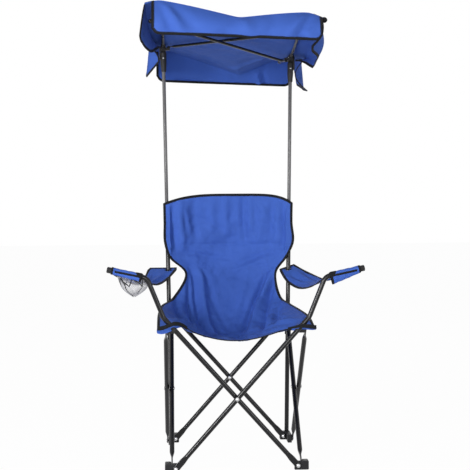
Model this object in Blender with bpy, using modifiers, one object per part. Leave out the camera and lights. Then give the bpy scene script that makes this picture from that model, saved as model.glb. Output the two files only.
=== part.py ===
"""Folding camp chair with a tilting canopy on two telescoping poles.

Four scissor pairs (front, rear, left, right) share one pivot length and one angle, so the whole
frame folds into a bundle as one linkage. Lengths are metres, +Z is up and the chair faces -Y.
"""
import math

import bmesh
import bpy
from mathutils import Matrix, Vector

# Scissor frame
pivot_spacing = 0.400        # between the pivots of one pair, across and front to back
pivot_rise = 0.448           # from the foot pivots to the seat corner pivots
foot_pivot_height = 0.015
tube_radius = 0.008
crossing_gap = 0.001         # between two crossing tubes
flat_thickness = 0.005       # of a tube end pressed flat
flat_radius = 0.010
flat_length = 0.030
press_length = 0.025         # from the flat to the full round
pin_radius = 0.0026
pin_clearance = 0.0003
head_radius = 0.0050
head_height = 0.0020
fit_gap = 0.0003             # between pieces that touch
running_gap = 0.0006         # between pieces that turn on each other
overrun = 0.002              # of a cut past its face, and of a joined piece into its neighbour
front_plane_offset = 0.030   # of the front and rear scissor planes from the side pivots
side_plane_offset = 0.0205   # of the side scissor planes from the front pivots

# Arm ends of the two front tubes
arm_run = 0.055              # straight past the seat corner pivot
upright_run = 0.140
wing_run = 0.128
upright_angle = math.radians(22.0)
wing_angle = math.radians(78.0)
arm_bend_radius = 0.032
cap_wall = 0.0016
cap_length = 0.022

# Back posts and canopy poles
post_offset = 0.013          # of a post's axis at the floor, outwards from the rear pivots
post_splay = math.radians(0.9)
post_wall = 0.0010
post_bottom = 0.006
post_top = 0.815
pole_radius = 0.0065
pole_wall = 0.0010
pole_overlap = 0.100         # of a pole inside its post
pole_cover = 0.0335          # from a pole's top to the tilt pin

# Sliders and seat corner blocks
ear_thickness = 0.0050
slider_wall = 0.0030
slider_skirt = 0.070         # of sleeve below the slider pivots
slider_crown = 0.012
block_half_height = 0.0120
block_crown = 0.0068         # of a seat corner block over its pivots

# Feet
foot_height = 0.030
foot_wall = 0.0050
foot_bevel = 0.0030
foot_reach = 0.012           # of a lug past its pivot

# Canopy heads and ribs
head_centre_height = 1.4315   # of the tilt pins, halfway between the two heads
canopy_lean = 0.036           # of the left head over the right one, as each pole is drawn out by hand
hem_lean_share = 0.45         # of the lean that the valance's hem follows
head_width = 0.018
head_length = 0.060
head_depth = 0.020
sleeve_length = 0.070
sleeve_radius = 0.0112
sleeve_foot_radius = 0.0085
drum_radius = 0.0125
rib_radius = 0.0050
rib_knob_radius = 0.0072
rib_knob_length = 0.016
rib_seat = 0.016
front_reach = 0.435
front_rise = 0.068
rear_reach = 0.400
rear_rise = 0.048
brace_inset = 0.0196         # of a diagonal's pivot from its pole
brace_overhang = 0.002       # of the far ends of the diagonals past the canopy's sides
brace_rise = 0.030
brace_gap = 0.004            # between the two diagonals where they cross
rib_flat = 0.0016            # half the depth of a diagonal's pressed end
lug_share = 0.12             # of a head's depth, from the tilt pin down to its lug
under_share = 0.3            # of a head's depth, from the tilt pin down to its underside
body_share = 0.49            # half width of a head's body, as a share of its drum's length

# Canopy cloth
cloth_thickness = 0.0018
canopy_side_overhang = 0.0545
canopy_front_overhang = 0.012
canopy_rear_overhang = 0.012
canopy_front_drop = 0.034    # of the cloth between the two front rib ends
canopy_rear_drop = 0.074
canopy_corner_drop = 0.012
canopy_clearance = 0.0012    # between the ribs and the cloth
fold_power = 1.25            # how sharply the top is folded along its middle
valance_depth = 0.094
valance_rear_depth = 0.112
valance_flare = 0.022
valance_notch = 0.012        # depth of the side valance at the poles

# Seat and back sling
sleeve_clearance = 0.0008
sling_thickness = 0.0022
back_top_height = 0.878
back_top_arch = 0.033
back_sleeve_share = 0.643    # of the way from the seat corners to the back's top
back_sag = 0.050
waist_share = 0.3427         # of the way from the seat corners to the back's top
waist_inset = 0.032          # of the edges from the pivots at the waist
low_back_share = 0.95        # of the room between the posts that the back fills above its waist
back_lap = 0.088             # from the waist down to where the back turns into the seat
seat_corner_reach = 0.057    # of the edges past the pivots at the front corners
seat_rear_reach = 0.030      # of the edges past the pivots at the seat's rear
seat_corner_lift = 0.0235    # of the cloth over the seat corner pivots
seat_front_sag = 0.062
seat_sag = 0.078
back_fold_depth = 0.0035
seat_fold_depth = 0.0060

# Armrests and cup pocket
arm_thickness = 0.0022
arm_sag = 0.026
arm_cup_half_width = 0.055
arm_waist_half_width = 0.031
arm_tail_half_width = 0.054
arm_tail_length = 0.030
arm_leaf_offset = 0.018      # of the leaf's middle outwards from its post
cup_radius = 0.040
cup_foot_radius = 0.030
cup_depth = 0.070
cup_wall = 0.0020
cup_rim = 0.0030             # half the height of the pocket's rim, and its width past the pocket

# Facets
tube_sides = 10
pin_sides = 8
rib_sides = 8
shell_sides = 16

# Worked out from the sizes above
scissor_length = math.hypot(pivot_spacing, pivot_rise)
scissor_angle = math.atan2(pivot_spacing, pivot_rise)
half = pivot_spacing / 2
post_spacing = pivot_spacing + 2 * post_offset
corner_height = foot_pivot_height + pivot_rise
tube_offset = tube_radius + crossing_gap / 2
half_flat = flat_thickness / 2
head_axis_x = post_spacing / 2 + head_centre_height * math.sin(post_splay)
front_y = -half - front_plane_offset
rear_y = half + front_plane_offset
outer_x = half + side_plane_offset + tube_offset
inner_x = half + side_plane_offset - tube_offset
post_y = rear_y + tube_offset + half_flat + running_gap + slider_wall + running_gap + tube_radius
canopy_half_width = head_axis_x + canopy_side_overhang
brace_corner = canopy_half_width + brace_overhang
seat_corner_top = corner_height + seat_corner_lift
back_sleeve_bottom = seat_corner_top + (back_top_height - seat_corner_top) * back_sleeve_share
waist_height = seat_corner_top + (back_top_height - seat_corner_top) * waist_share
waist_half_width = half - waist_inset
seat_corner_half_width = half + seat_corner_reach
seat_rear_half_width = half + seat_rear_reach
canopy_front_y = post_y - front_reach - canopy_front_overhang
canopy_rear_y = post_y + rear_reach + canopy_rear_overhang
model_front_y = front_y - tube_offset - tube_radius - cap_wall - fit_gap
model_rear_y = canopy_rear_y + valance_flare
model_middle_y = (model_front_y + model_rear_y) / 2

COLLECTION_NAME = "umbrella_chair"
CUTTER_COLLECTION_NAME = "umbrella_chair_cutters"


def clear_scene():
    """Remove what the file already holds."""
    for item in list(bpy.data.objects):
        bpy.data.objects.remove(item, do_unlink=True)
    for group in list(bpy.data.collections):
        bpy.data.collections.remove(group)


def new_collection(name):
    """A collection linked to the scene."""
    group = bpy.data.collections.new(name)
    bpy.context.scene.collection.children.link(group)
    return group


def new_material(name, colour, roughness, metallic=0.0):
    """A Principled material in one plain colour."""
    made = bpy.data.materials.new(name)
    made.use_nodes = True
    shader = made.node_tree.nodes["Principled BSDF"]
    shader.inputs["Base Color"].default_value = (*colour, 1.0)
    shader.inputs["Roughness"].default_value = roughness
    shader.inputs["Metallic"].default_value = metallic
    return made


# Frames of reference


class Body:
    """A moving piece's empty, which sits on its joint's axis."""

    def __init__(self, name, point, parent=None):
        self.point = Vector(point)
        self.empty = bpy.data.objects.new("body_" + name, None)
        self.empty.empty_display_size = tube_radius
        parts.objects.link(self.empty)
        if parent is None:
            self.empty.location = self.point
        else:
            self.empty.parent = parent.empty
            self.empty.location = self.point - parent.point

    def carry(self, item):
        """Hang an object, placed in the chair's frame, on this body."""
        item.parent = self.empty
        item.location = item.location - self.point
        return item


def hub_height(side):
    """Height of a head's tilt pin: the left pole is drawn out further than the right one."""
    return head_centre_height - side * canopy_lean / 2


def lean_at(x):
    """How much the canopy stands over its middle at a distance to the side."""
    return -x / head_axis_x * canopy_lean / 2


def pole_top(side):
    """Height of a pole's top end, inside its socket."""
    return hub_height(side) - pole_cover


def post_x(height):
    """Distance of the post and pole axes from the middle at a height."""
    return post_spacing / 2 + height * math.sin(post_splay)


# Shape helpers


def link_mesh(name, bm, material, group=None):
    """Turn a bmesh into a linked object."""
    bmesh.ops.recalc_face_normals(bm, faces=bm.faces)
    mesh = bpy.data.meshes.new(name)
    bm.to_mesh(mesh)
    bm.free()
    if material is not None:
        mesh.materials.append(material)
    item = bpy.data.objects.new(name, mesh)
    (group or parts).objects.link(item)
    return item


def as_cutter(item):
    """Mark an object as a cutter or a guide, which is not part of the model."""
    item.hide_render = True
    item.display_type = "WIRE"
    if item.name in parts.objects:
        parts.objects.unlink(item)
        cutters.objects.link(item)
    item.parent = origin_empty
    return item


def boolean(item, other, operation):
    """Cut an object by another one, or join the other one to it."""
    modifier = item.modifiers.new(operation.lower(), "BOOLEAN")
    modifier.operation = operation
    modifier.solver = "EXACT"
    modifier.object = other
    return item


def cut(item, *tools):
    """Cut an object by other ones."""
    for tool in tools:
        boolean(item, as_cutter(tool), "DIFFERENCE")
    return item


def join(item, *others):
    """Join other shapes to an object."""
    for other in others:
        boolean(item, as_cutter(other), "UNION")
    return item


def box(name, low, high, material=None, bevel=0):
    """A box between two corners, with its origin at its centre."""
    low = Vector(low)
    high = Vector(high)
    bm = bmesh.new()
    bmesh.ops.create_cube(bm, size=1)
    bmesh.ops.scale(bm, vec=high - low, verts=bm.verts)
    item = link_mesh(name, bm, material)
    item.location = (low + high) / 2
    if bevel:
        modifier = item.modifiers.new("rounded_edges", "BEVEL")
        modifier.width = bevel
        modifier.segments = 2
    return item


def turned(name, profile, start, direction, material=None, sides=pin_sides):
    """Turn a profile of (radius, distance) pairs about an axis from a point along a direction.

    An open profile starts and ends on the axis. A closed one repeats its first point.
    """
    direction = Vector(direction).normalized()
    closed = profile[0] == profile[-1]
    points = profile[:-1] if closed else profile
    mesh = bpy.data.meshes.new(name)
    edges = [(k, k + 1) for k in range(len(points) - 1)]
    if closed:
        edges.append((len(points) - 1, 0))
    mesh.from_pydata([(r, 0, z) for r, z in points], edges, [])
    if material is not None:
        mesh.materials.append(material)
    item = bpy.data.objects.new(name, mesh)
    parts.objects.link(item)
    item.location = start
    item.rotation_mode = "QUATERNION"
    item.rotation_quaternion = Vector((0, 0, 1)).rotation_difference(direction)
    modifier = item.modifiers.new("turn", "SCREW")
    modifier.steps = sides
    modifier.render_steps = sides
    modifier.use_merge_vertices = True
    modifier.merge_threshold = 0.00001
    modifier.use_smooth_shade = True
    return item


def rod_profile(radius, length):
    """Profile of a plain rod, top to bottom."""
    return [(0, length), (radius, length), (radius, 0), (0, 0)]


def pipe_profile(outer, inner, length):
    """Closed profile of a tube, down its outside and up its bore."""
    return [(inner, length), (outer, length), (outer, 0), (inner, 0), (inner, length)]


def rod(name, start, end, radius, material=None, sides=pin_sides):
    """A round rod between two points."""
    start = Vector(start)
    end = Vector(end)
    return turned(name, rod_profile(radius, (end - start).length), start, end - start, material, sides)


def headed_pin(name, start, end):
    """A pin from inside its block to the far side of what it holds, with a domed head."""
    start = Vector(start)
    end = Vector(end)
    length = (end - start).length
    profile = [
        (0, length + head_height),
        (head_radius * 0.6, length + head_height * 0.8),
        (head_radius, length + head_height * 0.25),
        (head_radius, length),
        (pin_radius, length),
        (pin_radius, 0),
        (0, 0),
    ]
    return turned(name, profile, start, end - start, None, pin_sides)


def loft(name, rings, material, group=None):
    """Skin a row of rings with the same number of points and close both ends."""
    bm = bmesh.new()
    rows = [[bm.verts.new(point) for point in ring] for ring in rings]
    sides = len(rings[0])
    for low, high in zip(rows, rows[1:]):
        for k in range(sides):
            n = (k + 1) % sides
            bm.faces.new((low[k], low[n], high[n], high[k]))
    bm.faces.new(rows[0][::-1])
    bm.faces.new(rows[-1])
    item = link_mesh(name, bm, material, group)
    item.data.shade_smooth()
    item.data.set_sharp_from_angle(angle=math.radians(50))
    return item


def oval(centre, side, depth_axis, half_width, half_depth, sides=tube_sides):
    """Points of an ellipse about a centre."""
    turn = [math.tau * (k + 0.5) / sides for k in range(sides)]
    return [centre + side * half_width * math.cos(a) + depth_axis * half_depth * math.sin(a) for a in turn]


# Pressed tubes of the scissor frame


def end_sections():
    """(distance from the pivot, half width, half depth) from a rounded flat end to the round tube."""
    sections = []
    for share in (-0.96, -0.75, -0.4, 0):
        reach = flat_radius * share
        sections.append((reach, math.sqrt(flat_radius ** 2 - reach ** 2), half_flat))
    sections.append((flat_length, flat_radius, half_flat))
    sections.append((flat_length + press_length * 0.5, flat_radius * 0.96, (half_flat + tube_radius) / 2))
    sections.append((flat_length + press_length, tube_radius, tube_radius))
    return sections


def hole_cutters(name, heights, pin_along):
    """Cutters for the pin holes of a tube that stands along Z, joined in one object."""
    reach = tube_radius + overrun
    bm = bmesh.new()
    for height in heights:
        turn = Matrix.Rotation(math.radians(90), 4, "X" if pin_along == "Y" else "Y")
        bmesh.ops.create_cone(
            bm,
            cap_ends=True,
            segments=pin_sides,
            radius1=pin_radius + pin_clearance,
            radius2=pin_radius + pin_clearance,
            depth=2 * reach,
            matrix=Matrix.Translation((0, 0, height)) @ turn,
        )
    return link_mesh(name, bm, None, cutters)


def bent_path(corners, radius, steps=4):
    """Points along a line of corners in the X-Z plane whose bends are arcs."""
    points = [corners[0]]
    for before, corner, after in zip(corners, corners[1:], corners[2:]):
        towards = (before - corner).normalized()
        onwards = (after - corner).normalized()
        opening = towards.angle(onwards)
        tangent = radius / math.tan(opening / 2)
        middle = (towards + onwards).normalized()
        centre = corner + middle * radius / math.sin(opening / 2)
        first = (corner + towards * tangent - centre).normalized()
        last = (corner + onwards * tangent - centre).normalized()
        for k in range(steps + 1):
            points.append(centre + first.slerp(last, k / steps) * radius)
    points.append(corners[-1])
    return points


def arm_corners(side):
    """Corners of an arm past the seat corner pivot, in its tube's own frame."""
    corners = [Vector((0, 0, scissor_length))]
    runs = (
        (arm_run, 0),
        (upright_run, upright_angle - scissor_angle),
        (wing_run, wing_angle - scissor_angle),
    )
    for run, angle in runs:
        step = Vector((side * math.sin(angle), 0, math.cos(angle))) * run
        corners.append(corners[-1] + step)
    return corners


def scissor_tube(name, foot, lean, pin_along, arm_side=0):
    """A tube of a scissor pair from its foot pivot, leaning along +X or -X, or towards -Y or +Y.

    Its ends are pressed flat, or it runs on into an arm on the side arm_side.
    """
    flat_way = Vector((1, 0, 0)) if pin_along == "Y" else Vector((0, 1, 0))
    deep_way = Vector((0, 1, 0)) if pin_along == "Y" else Vector((1, 0, 0))
    up = Vector((0, 0, 1))
    rings = [oval(up * s, flat_way, deep_way, w, d) for s, w, d in end_sections()]
    if arm_side:
        path = bent_path(arm_corners(arm_side), arm_bend_radius)
        for k, point in enumerate(path):
            ahead = path[min(k + 1, len(path) - 1)] - path[max(k - 1, 0)]
            side = Vector((0, 1, 0)).cross(ahead.normalized())
            rings.append(oval(point, side, Vector((0, 1, 0)), tube_radius, tube_radius))
    else:
        for s, w, d in end_sections()[::-1]:
            rings.append(oval(up * (scissor_length - s), flat_way, deep_way, w, d))
    item = loft(name, rings, steel)
    tool = hole_cutters(name + "_holes", (0, scissor_length / 2, scissor_length), pin_along)
    for placed in (item, tool):
        placed.location = foot
        if pin_along == "Y":
            placed.rotation_euler = (0, lean * scissor_angle, 0)
        else:
            placed.rotation_euler = (lean * scissor_angle, 0, 0)
    cut(item, tool)
    return item


def crossing_rivet(name, centre, along):
    """A rivet through two crossing tubes, with a head on each side."""
    reach = tube_offset + tube_radius + fit_gap
    profile = [
        (0, reach + head_height),
        (head_radius * 0.6, reach + head_height * 0.8),
        (head_radius, reach + head_height * 0.25),
        (head_radius, reach),
        (pin_radius, reach),
        (pin_radius, -reach),
        (head_radius, -reach),
        (head_radius, -reach - head_height * 0.25),
        (head_radius * 0.6, -reach - head_height * 0.8),
        (0, -reach - head_height),
    ]
    return turned(name, profile, centre, along, rivet_steel)


# Feet, seat corner blocks and sliders


def front_foot(side, tube_y):
    """A front foot with a pin for its front tube and one for its side tube."""
    name = ("left" if side < 0 else "right") + "_front_foot"
    face_y = tube_y + half_flat + running_gap
    inner_face = inner_x + half_flat + running_gap
    outer_end = half - flat_radius - foot_wall / 2
    low_x, high_x = sorted((side * outer_end, side * (inner_face + 2 * flat_radius)))
    front = box(
        name,
        (low_x, face_y, 0),
        (high_x, -half - flat_radius - running_gap, foot_height),
        plastic,
        foot_bevel,
    )
    lug_low, lug_high = sorted((side * inner_face, side * (inner_face + 2 * flat_radius)))
    lug = box(
        name + "_lug",
        (lug_low, -half - flat_radius - foot_wall, 0),
        (lug_high, -half + foot_reach, foot_height),
        None,
        foot_bevel,
    )
    front_pin = headed_pin(
        name + "_front_pin",
        (side * half, face_y + overrun, foot_pivot_height),
        (side * half, tube_y - half_flat - fit_gap, foot_pivot_height),
    )
    side_pin = headed_pin(
        name + "_side_pin",
        (side * (inner_face + overrun), -half, foot_pivot_height),
        (side * (inner_x - half_flat - fit_gap), -half, foot_pivot_height),
    )
    return join(front, lug, front_pin, side_pin)


def rear_foot(side, tube_y):
    """A rear foot with the post's socket, a pin for its rear tube and one for its side tube."""
    name = ("left" if side < 0 else "right") + "_rear_foot"
    face_y = tube_y + half_flat + running_gap
    inner_face = outer_x - half_flat - running_gap
    socket = tube_radius + fit_gap
    inner_end = half - flat_radius - foot_wall / 2
    low_x, high_x = sorted((side * inner_end, side * (post_x(0) + socket + foot_wall)))
    back = box(
        name,
        (low_x, face_y, 0),
        (high_x, post_y + socket + foot_wall, foot_height),
        plastic,
        foot_bevel,
    )
    lug_low, lug_high = sorted((side * (half + flat_radius + running_gap), side * inner_face))
    lug = box(
        name + "_lug",
        (lug_low, half - foot_reach, 0),
        (lug_high, face_y + foot_wall, foot_height),
        None,
        foot_bevel / 2,
    )
    rear_pin = headed_pin(
        name + "_rear_pin",
        (side * half, face_y + overrun, foot_pivot_height),
        (side * half, tube_y - half_flat - fit_gap, foot_pivot_height),
    )
    side_pin = headed_pin(
        name + "_side_pin",
        (side * (inner_face - overrun), half, foot_pivot_height),
        (side * (outer_x + half_flat + fit_gap), half, foot_pivot_height),
    )
    bore = rod(
        name + "_bore",
        (side * post_x(post_bottom - fit_gap), post_y, post_bottom - fit_gap),
        (side * post_x(foot_height + overrun), post_y, foot_height + overrun),
        socket,
        None,
        shell_sides,
    )
    join(back, lug, rear_pin, side_pin)
    return cut(back, bore)


def seat_corner(side, tube_y):
    """The block that joins a front tube and a side tube at a front corner of the seat."""
    name = ("left" if side < 0 else "right") + "_seat_corner"
    face_y = tube_y + tube_radius + running_gap
    inner_face = outer_x - half_flat - running_gap
    low_x, high_x = sorted((side * (half - head_radius - running_gap), side * inner_face))
    block = box(
        name,
        (low_x, face_y, corner_height - block_half_height),
        (high_x, -half + foot_reach, corner_height + block_crown),
        plastic,
        foot_bevel / 2,
    )
    front_pin = headed_pin(
        name + "_front_pin",
        (side * half, face_y + overrun, corner_height),
        (side * half, tube_y - tube_radius - fit_gap, corner_height),
    )
    side_pin = headed_pin(
        name + "_side_pin",
        (side * (inner_face - overrun), -half, corner_height),
        (side * (outer_x + half_flat + fit_gap), -half, corner_height),
    )
    return join(block, front_pin, side_pin)


def slider(side, tube_y):
    """The sleeve that rides up its post, with an ear for a rear tube and one for a side tube."""
    name = ("left" if side < 0 else "right") + "_slider"
    bore_radius = tube_radius + running_gap
    shell = bore_radius + slider_wall
    bottom = corner_height - slider_skirt
    top = corner_height + slider_crown
    at_pivot = side * post_x(corner_height)
    profile = rod_profile(shell, top - bottom)
    sleeve = turned(name, profile, (at_pivot, post_y, bottom), (0, 0, 1), plastic, shell_sides)
    inner_face = inner_x + half_flat + running_gap
    ear_low, ear_high = sorted((side * inner_face, side * (inner_face + 2 * ear_thickness)))
    side_ear = box(
        name + "_side_ear",
        (ear_low, half - foot_reach, corner_height - block_half_height),
        (ear_high, post_y, corner_height + slider_crown),
        None,
        foot_bevel / 2,
    )
    rear_face = tube_y + half_flat + running_gap
    rear_low, rear_high = sorted((side * (half - flat_radius), at_pivot))
    rear_ear = box(
        name + "_rear_ear",
        (rear_low, rear_face, corner_height - block_half_height),
        (rear_high, post_y + shell / 2, corner_height + slider_crown),
        None,
        foot_bevel / 2,
    )
    rear_pin = headed_pin(
        name + "_rear_pin",
        (side * half, rear_face + overrun, corner_height),
        (side * half, tube_y - half_flat - fit_gap, corner_height),
    )
    side_pin = headed_pin(
        name + "_side_pin",
        (side * (inner_face + overrun), half, corner_height),
        (side * (inner_x - half_flat - fit_gap), half, corner_height),
    )
    join(sleeve, side_ear, rear_ear, rear_pin, side_pin)
    # The post leans outwards and the slider climbs straight up, so its bore is drawn out
    # into a slot as wide as that lean over its travel.
    climb = scissor_length - pivot_rise
    rings = []
    for height in (bottom - overrun, top + overrun):
        centre = Vector((side * post_x(height), post_y, height))
        slack = Vector((side * climb * math.sin(post_splay), 0, 0))
        ring = []
        across, deep = Vector((1, 0, 0)), Vector((0, 1, 0))
        for point in oval(Vector((0, 0, 0)), across, deep, bore_radius, bore_radius, shell_sides):
            shift = slack if point.x * side > 0 else Vector((0, 0, 0))
            ring.append(centre + point + shift)
        rings.append(ring)
    bore = loft(name + "_bore", rings, None, cutters)
    return cut(sleeve, bore)


# Posts, poles and canopy heads


def post(side):
    """A back post, open at its top for the canopy pole."""
    name = ("left" if side < 0 else "right") + "_post"
    start = Vector((side * post_x(post_bottom), post_y, post_bottom))
    end = Vector((side * post_x(post_top), post_y, post_top))
    profile = pipe_profile(tube_radius, tube_radius - post_wall, (end - start).length)
    return turned(name, profile, start, end - start, steel, shell_sides)


def pole(side):
    """A canopy pole that slides in its post."""
    name = ("left" if side < 0 else "right") + "_pole"
    low = post_top - pole_overlap - side * canopy_lean / 2
    high = pole_top(side)
    start = Vector((side * post_x(low), post_y, low))
    end = Vector((side * post_x(high), post_y, high))
    profile = pipe_profile(pole_radius, pole_radius - pole_wall, (end - start).length)
    return turned(name, profile, start, end - start, pole_steel, tube_sides)


def pole_socket(side):
    """The tapered sleeve on a pole, whose outer ear carries the tilting head on a pin."""
    name = ("left" if side < 0 else "right") + "_pole_socket"
    ear_inner = head_axis_x + head_width / 2 + running_gap
    sleeve_top = hub_height(side) - drum_radius - running_gap * 2
    start = Vector((side * post_x(sleeve_top - sleeve_length), post_y, sleeve_top - sleeve_length))
    end = Vector((side * post_x(sleeve_top), post_y, sleeve_top))
    length = (end - start).length
    profile = [
        (0, length),
        (sleeve_radius, length),
        (sleeve_radius, length * 0.45),
        (sleeve_foot_radius, 0),
        (0, 0),
    ]
    sleeve = turned(name, profile, start, end - start, plastic, shell_sides)
    ear_low, ear_high = sorted((side * ear_inner, side * (ear_inner + ear_thickness)))
    ear = box(
        name + "_ear",
        (ear_low, post_y - drum_radius * 0.8, sleeve_top - 2 * drum_radius),
        (ear_high, post_y + drum_radius * 0.8, hub_height(side) + drum_radius * 0.8),
        None,
        foot_bevel / 2,
    )
    bridge_low, bridge_high = sorted((side * head_axis_x, side * (ear_inner + ear_thickness / 2)))
    bridge = box(
        name + "_bridge",
        (bridge_low, post_y - drum_radius / 2, sleeve_top - 2 * drum_radius + overrun),
        (bridge_high, post_y + drum_radius / 2, sleeve_top - overrun / 2),
    )
    pin = headed_pin(
        name + "_pin",
        (side * (ear_inner + overrun), post_y, hub_height(side)),
        (side * (head_axis_x - head_width / 2 - fit_gap), post_y, hub_height(side)),
    )
    bore_top = pole_top(side) + fit_gap
    bore = rod(
        name + "_bore",
        (side * post_x(sleeve_top - sleeve_length - overrun), post_y, sleeve_top - sleeve_length - overrun),
        (side * post_x(bore_top), post_y, bore_top),
        pole_radius + fit_gap,
        None,
        tube_sides,
    )
    join(sleeve, ear, bridge, pin)
    return cut(sleeve, bore)


def rib_line(reach, rise, way):
    """Start and end of a rib in its head's plane, as (y, z) from the tilt pin."""
    start = head_length / 2 - rib_seat
    return (way * start, rise * start / reach), (way * reach, rise)


def canopy_head(side):
    """The head that tilts on its pole and holds a front rib, a rear rib and a diagonal."""
    name = ("left" if side < 0 else "right") + "_canopy_head"
    drum = rod(
        name,
        (side * (head_axis_x - head_width / 2), post_y, hub_height(side)),
        (side * (head_axis_x + head_width / 2), post_y, hub_height(side)),
        drum_radius,
        plastic,
        shell_sides,
    )
    body_half = head_width * body_share
    under = hub_height(side) - head_depth * under_share
    body = box(
        name + "_body",
        (side * head_axis_x - body_half, post_y - head_length / 2, under),
        (side * head_axis_x + body_half, post_y + head_length / 2, under + head_depth),
        None,
        foot_bevel,
    )
    lug_x = head_axis_x - brace_inset
    pivot_y = post_y - head_length / 3
    lug_low, lug_high = sorted((side * (lug_x - head_radius), side * (head_axis_x - head_width / 4)))
    lug = box(
        name + "_lug",
        (lug_low, pivot_y - head_radius, lug_height(side) - lug_thickness / 2),
        (lug_high, pivot_y + head_radius, lug_height(side) + lug_thickness / 2),
    )
    pin_reach = lug_thickness / 2 + running_gap + 2 * rib_flat + fit_gap
    brace_pin = headed_pin(
        name + "_brace_pin",
        (side * lug_x, pivot_y, lug_height(side)),
        (side * lug_x, pivot_y, lug_height(side) - side * pin_reach),
    )
    join(drum, body, lug, brace_pin)
    tools = [
        rod(
            name + "_tilt_bore",
            (side * head_axis_x - head_width, post_y, hub_height(side)),
            (side * head_axis_x + head_width, post_y, hub_height(side)),
            pin_radius + pin_clearance,
        )
    ]
    ribs = (("front", front_reach, front_rise, -1), ("rear", rear_reach, rear_rise, 1))
    for label, reach, rise, direction in ribs:
        (y0, z0), (y1, z1) = rib_line(reach, rise, direction)
        start = Vector((side * head_axis_x, post_y + y0, hub_height(side) + rib_lift + z0))
        end = Vector((side * head_axis_x, post_y + y1, hub_height(side) + rib_lift + z1))
        along = (end - start).normalized()
        seat_start = start - along * fit_gap
        seat_end = start + along * (rib_seat * 2)
        seat_name = name + "_" + label + "_seat"
        tools.append(rod(seat_name, seat_start, seat_end, rib_radius + fit_gap, None, rib_sides))
    return cut(drum, *tools)


def rib_profile(length):
    """Profile of a rib with a rounded plug on its far end, top to bottom."""
    return [
        (0, length),
        (rib_knob_radius * 0.6, length - rib_knob_length * 0.08),
        (rib_knob_radius, length - rib_knob_length * 0.35),
        (rib_knob_radius, length - rib_knob_length),
        (rib_radius, length - rib_knob_length),
        (rib_radius, 0),
        (0, 0),
    ]


def straight_rib(side, label, reach, rise, direction):
    """A rib that runs straight forwards or backwards from its head."""
    name = ("left" if side < 0 else "right") + "_" + label + "_rib"
    (y0, z0), (y1, z1) = rib_line(reach, rise, direction)
    start = Vector((side * head_axis_x, post_y + y0, hub_height(side) + rib_lift + z0))
    end = Vector((side * head_axis_x, post_y + y1, hub_height(side) + rib_lift + z1))
    return turned(name, rib_profile((end - start).length), start, end - start, pole_steel, rib_sides)


def brace_sections():
    """(distance, half width, half depth) of a diagonal's flat end, up to its round part."""
    wide = rib_radius * 1.35
    rows = []
    for share in (-0.95, -0.6, 0):
        rows.append((wide * share, wide * math.sqrt(1 - share ** 2), rib_flat))
    rows.append((wide * 2, wide, rib_flat))
    rows.append((wide * 4, rib_radius, rib_radius))
    return rows


def brace(side):
    """A diagonal from its head to the opposite front corner, turning on an upright pin."""
    name = ("left" if side < 0 else "right") + "_diagonal_rib"
    start = Vector((side * (head_axis_x - brace_inset), post_y - head_length / 3, brace_height(side)))
    end_height = head_centre_height - head_depth * lug_share - side * brace_step + brace_rise
    end_height += lean_at(-side * brace_corner)
    end = Vector((-side * brace_corner, post_y - front_reach, end_height))
    line = end - start
    level = Vector((line.x, line.y, 0)).normalized()
    across = Vector((0, 0, 1)).cross(level)
    rings = []
    for distance, wide, deep in brace_sections():
        rings.append(oval(level * distance, across, Vector((0, 0, 1)), wide, deep, rib_sides))
    first = level * brace_sections()[-1][0]
    along = (line - first).normalized()
    upright = along.cross(across)
    reach = (line - first).length
    for distance, radius in (
        (reach - rib_knob_length, rib_radius),
        (reach - rib_knob_length * 0.96, rib_knob_radius),
        (reach - rib_knob_length * 0.35, rib_knob_radius),
        (reach - rib_knob_length * 0.08, rib_knob_radius * 0.6),
    ):
        rings.append(oval(first + along * distance, across, upright, radius, radius, rib_sides))
    item = loft(name, rings, pole_steel)
    item.location = start
    upward = Vector((0, 0, rib_radius + overrun))
    tool = rod(name + "_hole", start - upward, start + upward, pin_radius + pin_clearance)
    return cut(item, tool)


# The two diagonals cross one above the other, on either side of their heads' lugs
rib_lift = head_depth * 0.2
brace_step = rib_radius + brace_gap / 2
lug_thickness = 2 * (brace_step - running_gap - rib_flat)


def brace_height(side):
    """Height of a diagonal's pivot: the left one lies over its lug and the right one under it."""
    return lug_height(side) - side * brace_step


def lug_height(side):
    """Height of the lug on a head that carries its diagonal."""
    return hub_height(side) - head_depth * lug_share


# Arm caps


def arm_point(side, distance_back=0):
    """Middle of an arm tube at a distance back from its outer end, in the chair's frame."""
    tube_y = left_arm_y if side < 0 else right_arm_y
    foot = Vector((-side * half, tube_y, foot_pivot_height))
    corners = arm_corners(side)
    turn = Matrix.Rotation(side * scissor_angle, 3, "Y")
    last = turn @ corners[-1] + foot
    inner = turn @ corners[-2] + foot
    return last + (inner - last).normalized() * distance_back


def arm_direction(side):
    """Direction of the outer run of an arm tube."""
    return (arm_point(side) - arm_point(side, wing_run / 2)).normalized()


def arm_cap(side):
    """A blind cap over the outer end of an arm tube."""
    name = ("left" if side < 0 else "right") + "_arm_cap"
    bore = tube_radius + fit_gap
    outer = bore + cap_wall
    depth = cap_length - cap_wall * 2
    profile = [
        (0, cap_length),
        (outer * 0.7, cap_length),
        (outer, cap_length - cap_wall),
        (outer, 0),
        (bore, 0),
        (bore, depth),
        (0, depth),
    ]
    start = arm_point(side, depth - fit_gap)
    return turned(name, profile, start, arm_direction(side), plastic, shell_sides)


# Cloth


def cloth(name, rows, thickness, material):
    """A sheet through rows of points, thickened both ways."""
    bm = bmesh.new()
    grid = [[bm.verts.new(point) for point in row] for row in rows]
    for low, high in zip(grid, grid[1:]):
        for k in range(len(low) - 1):
            bm.faces.new((low[k], low[k + 1], high[k + 1], high[k]))
    item = link_mesh(name, bm, material)
    item.data.shade_smooth()
    thicken(item, thickness)
    return item


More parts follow.
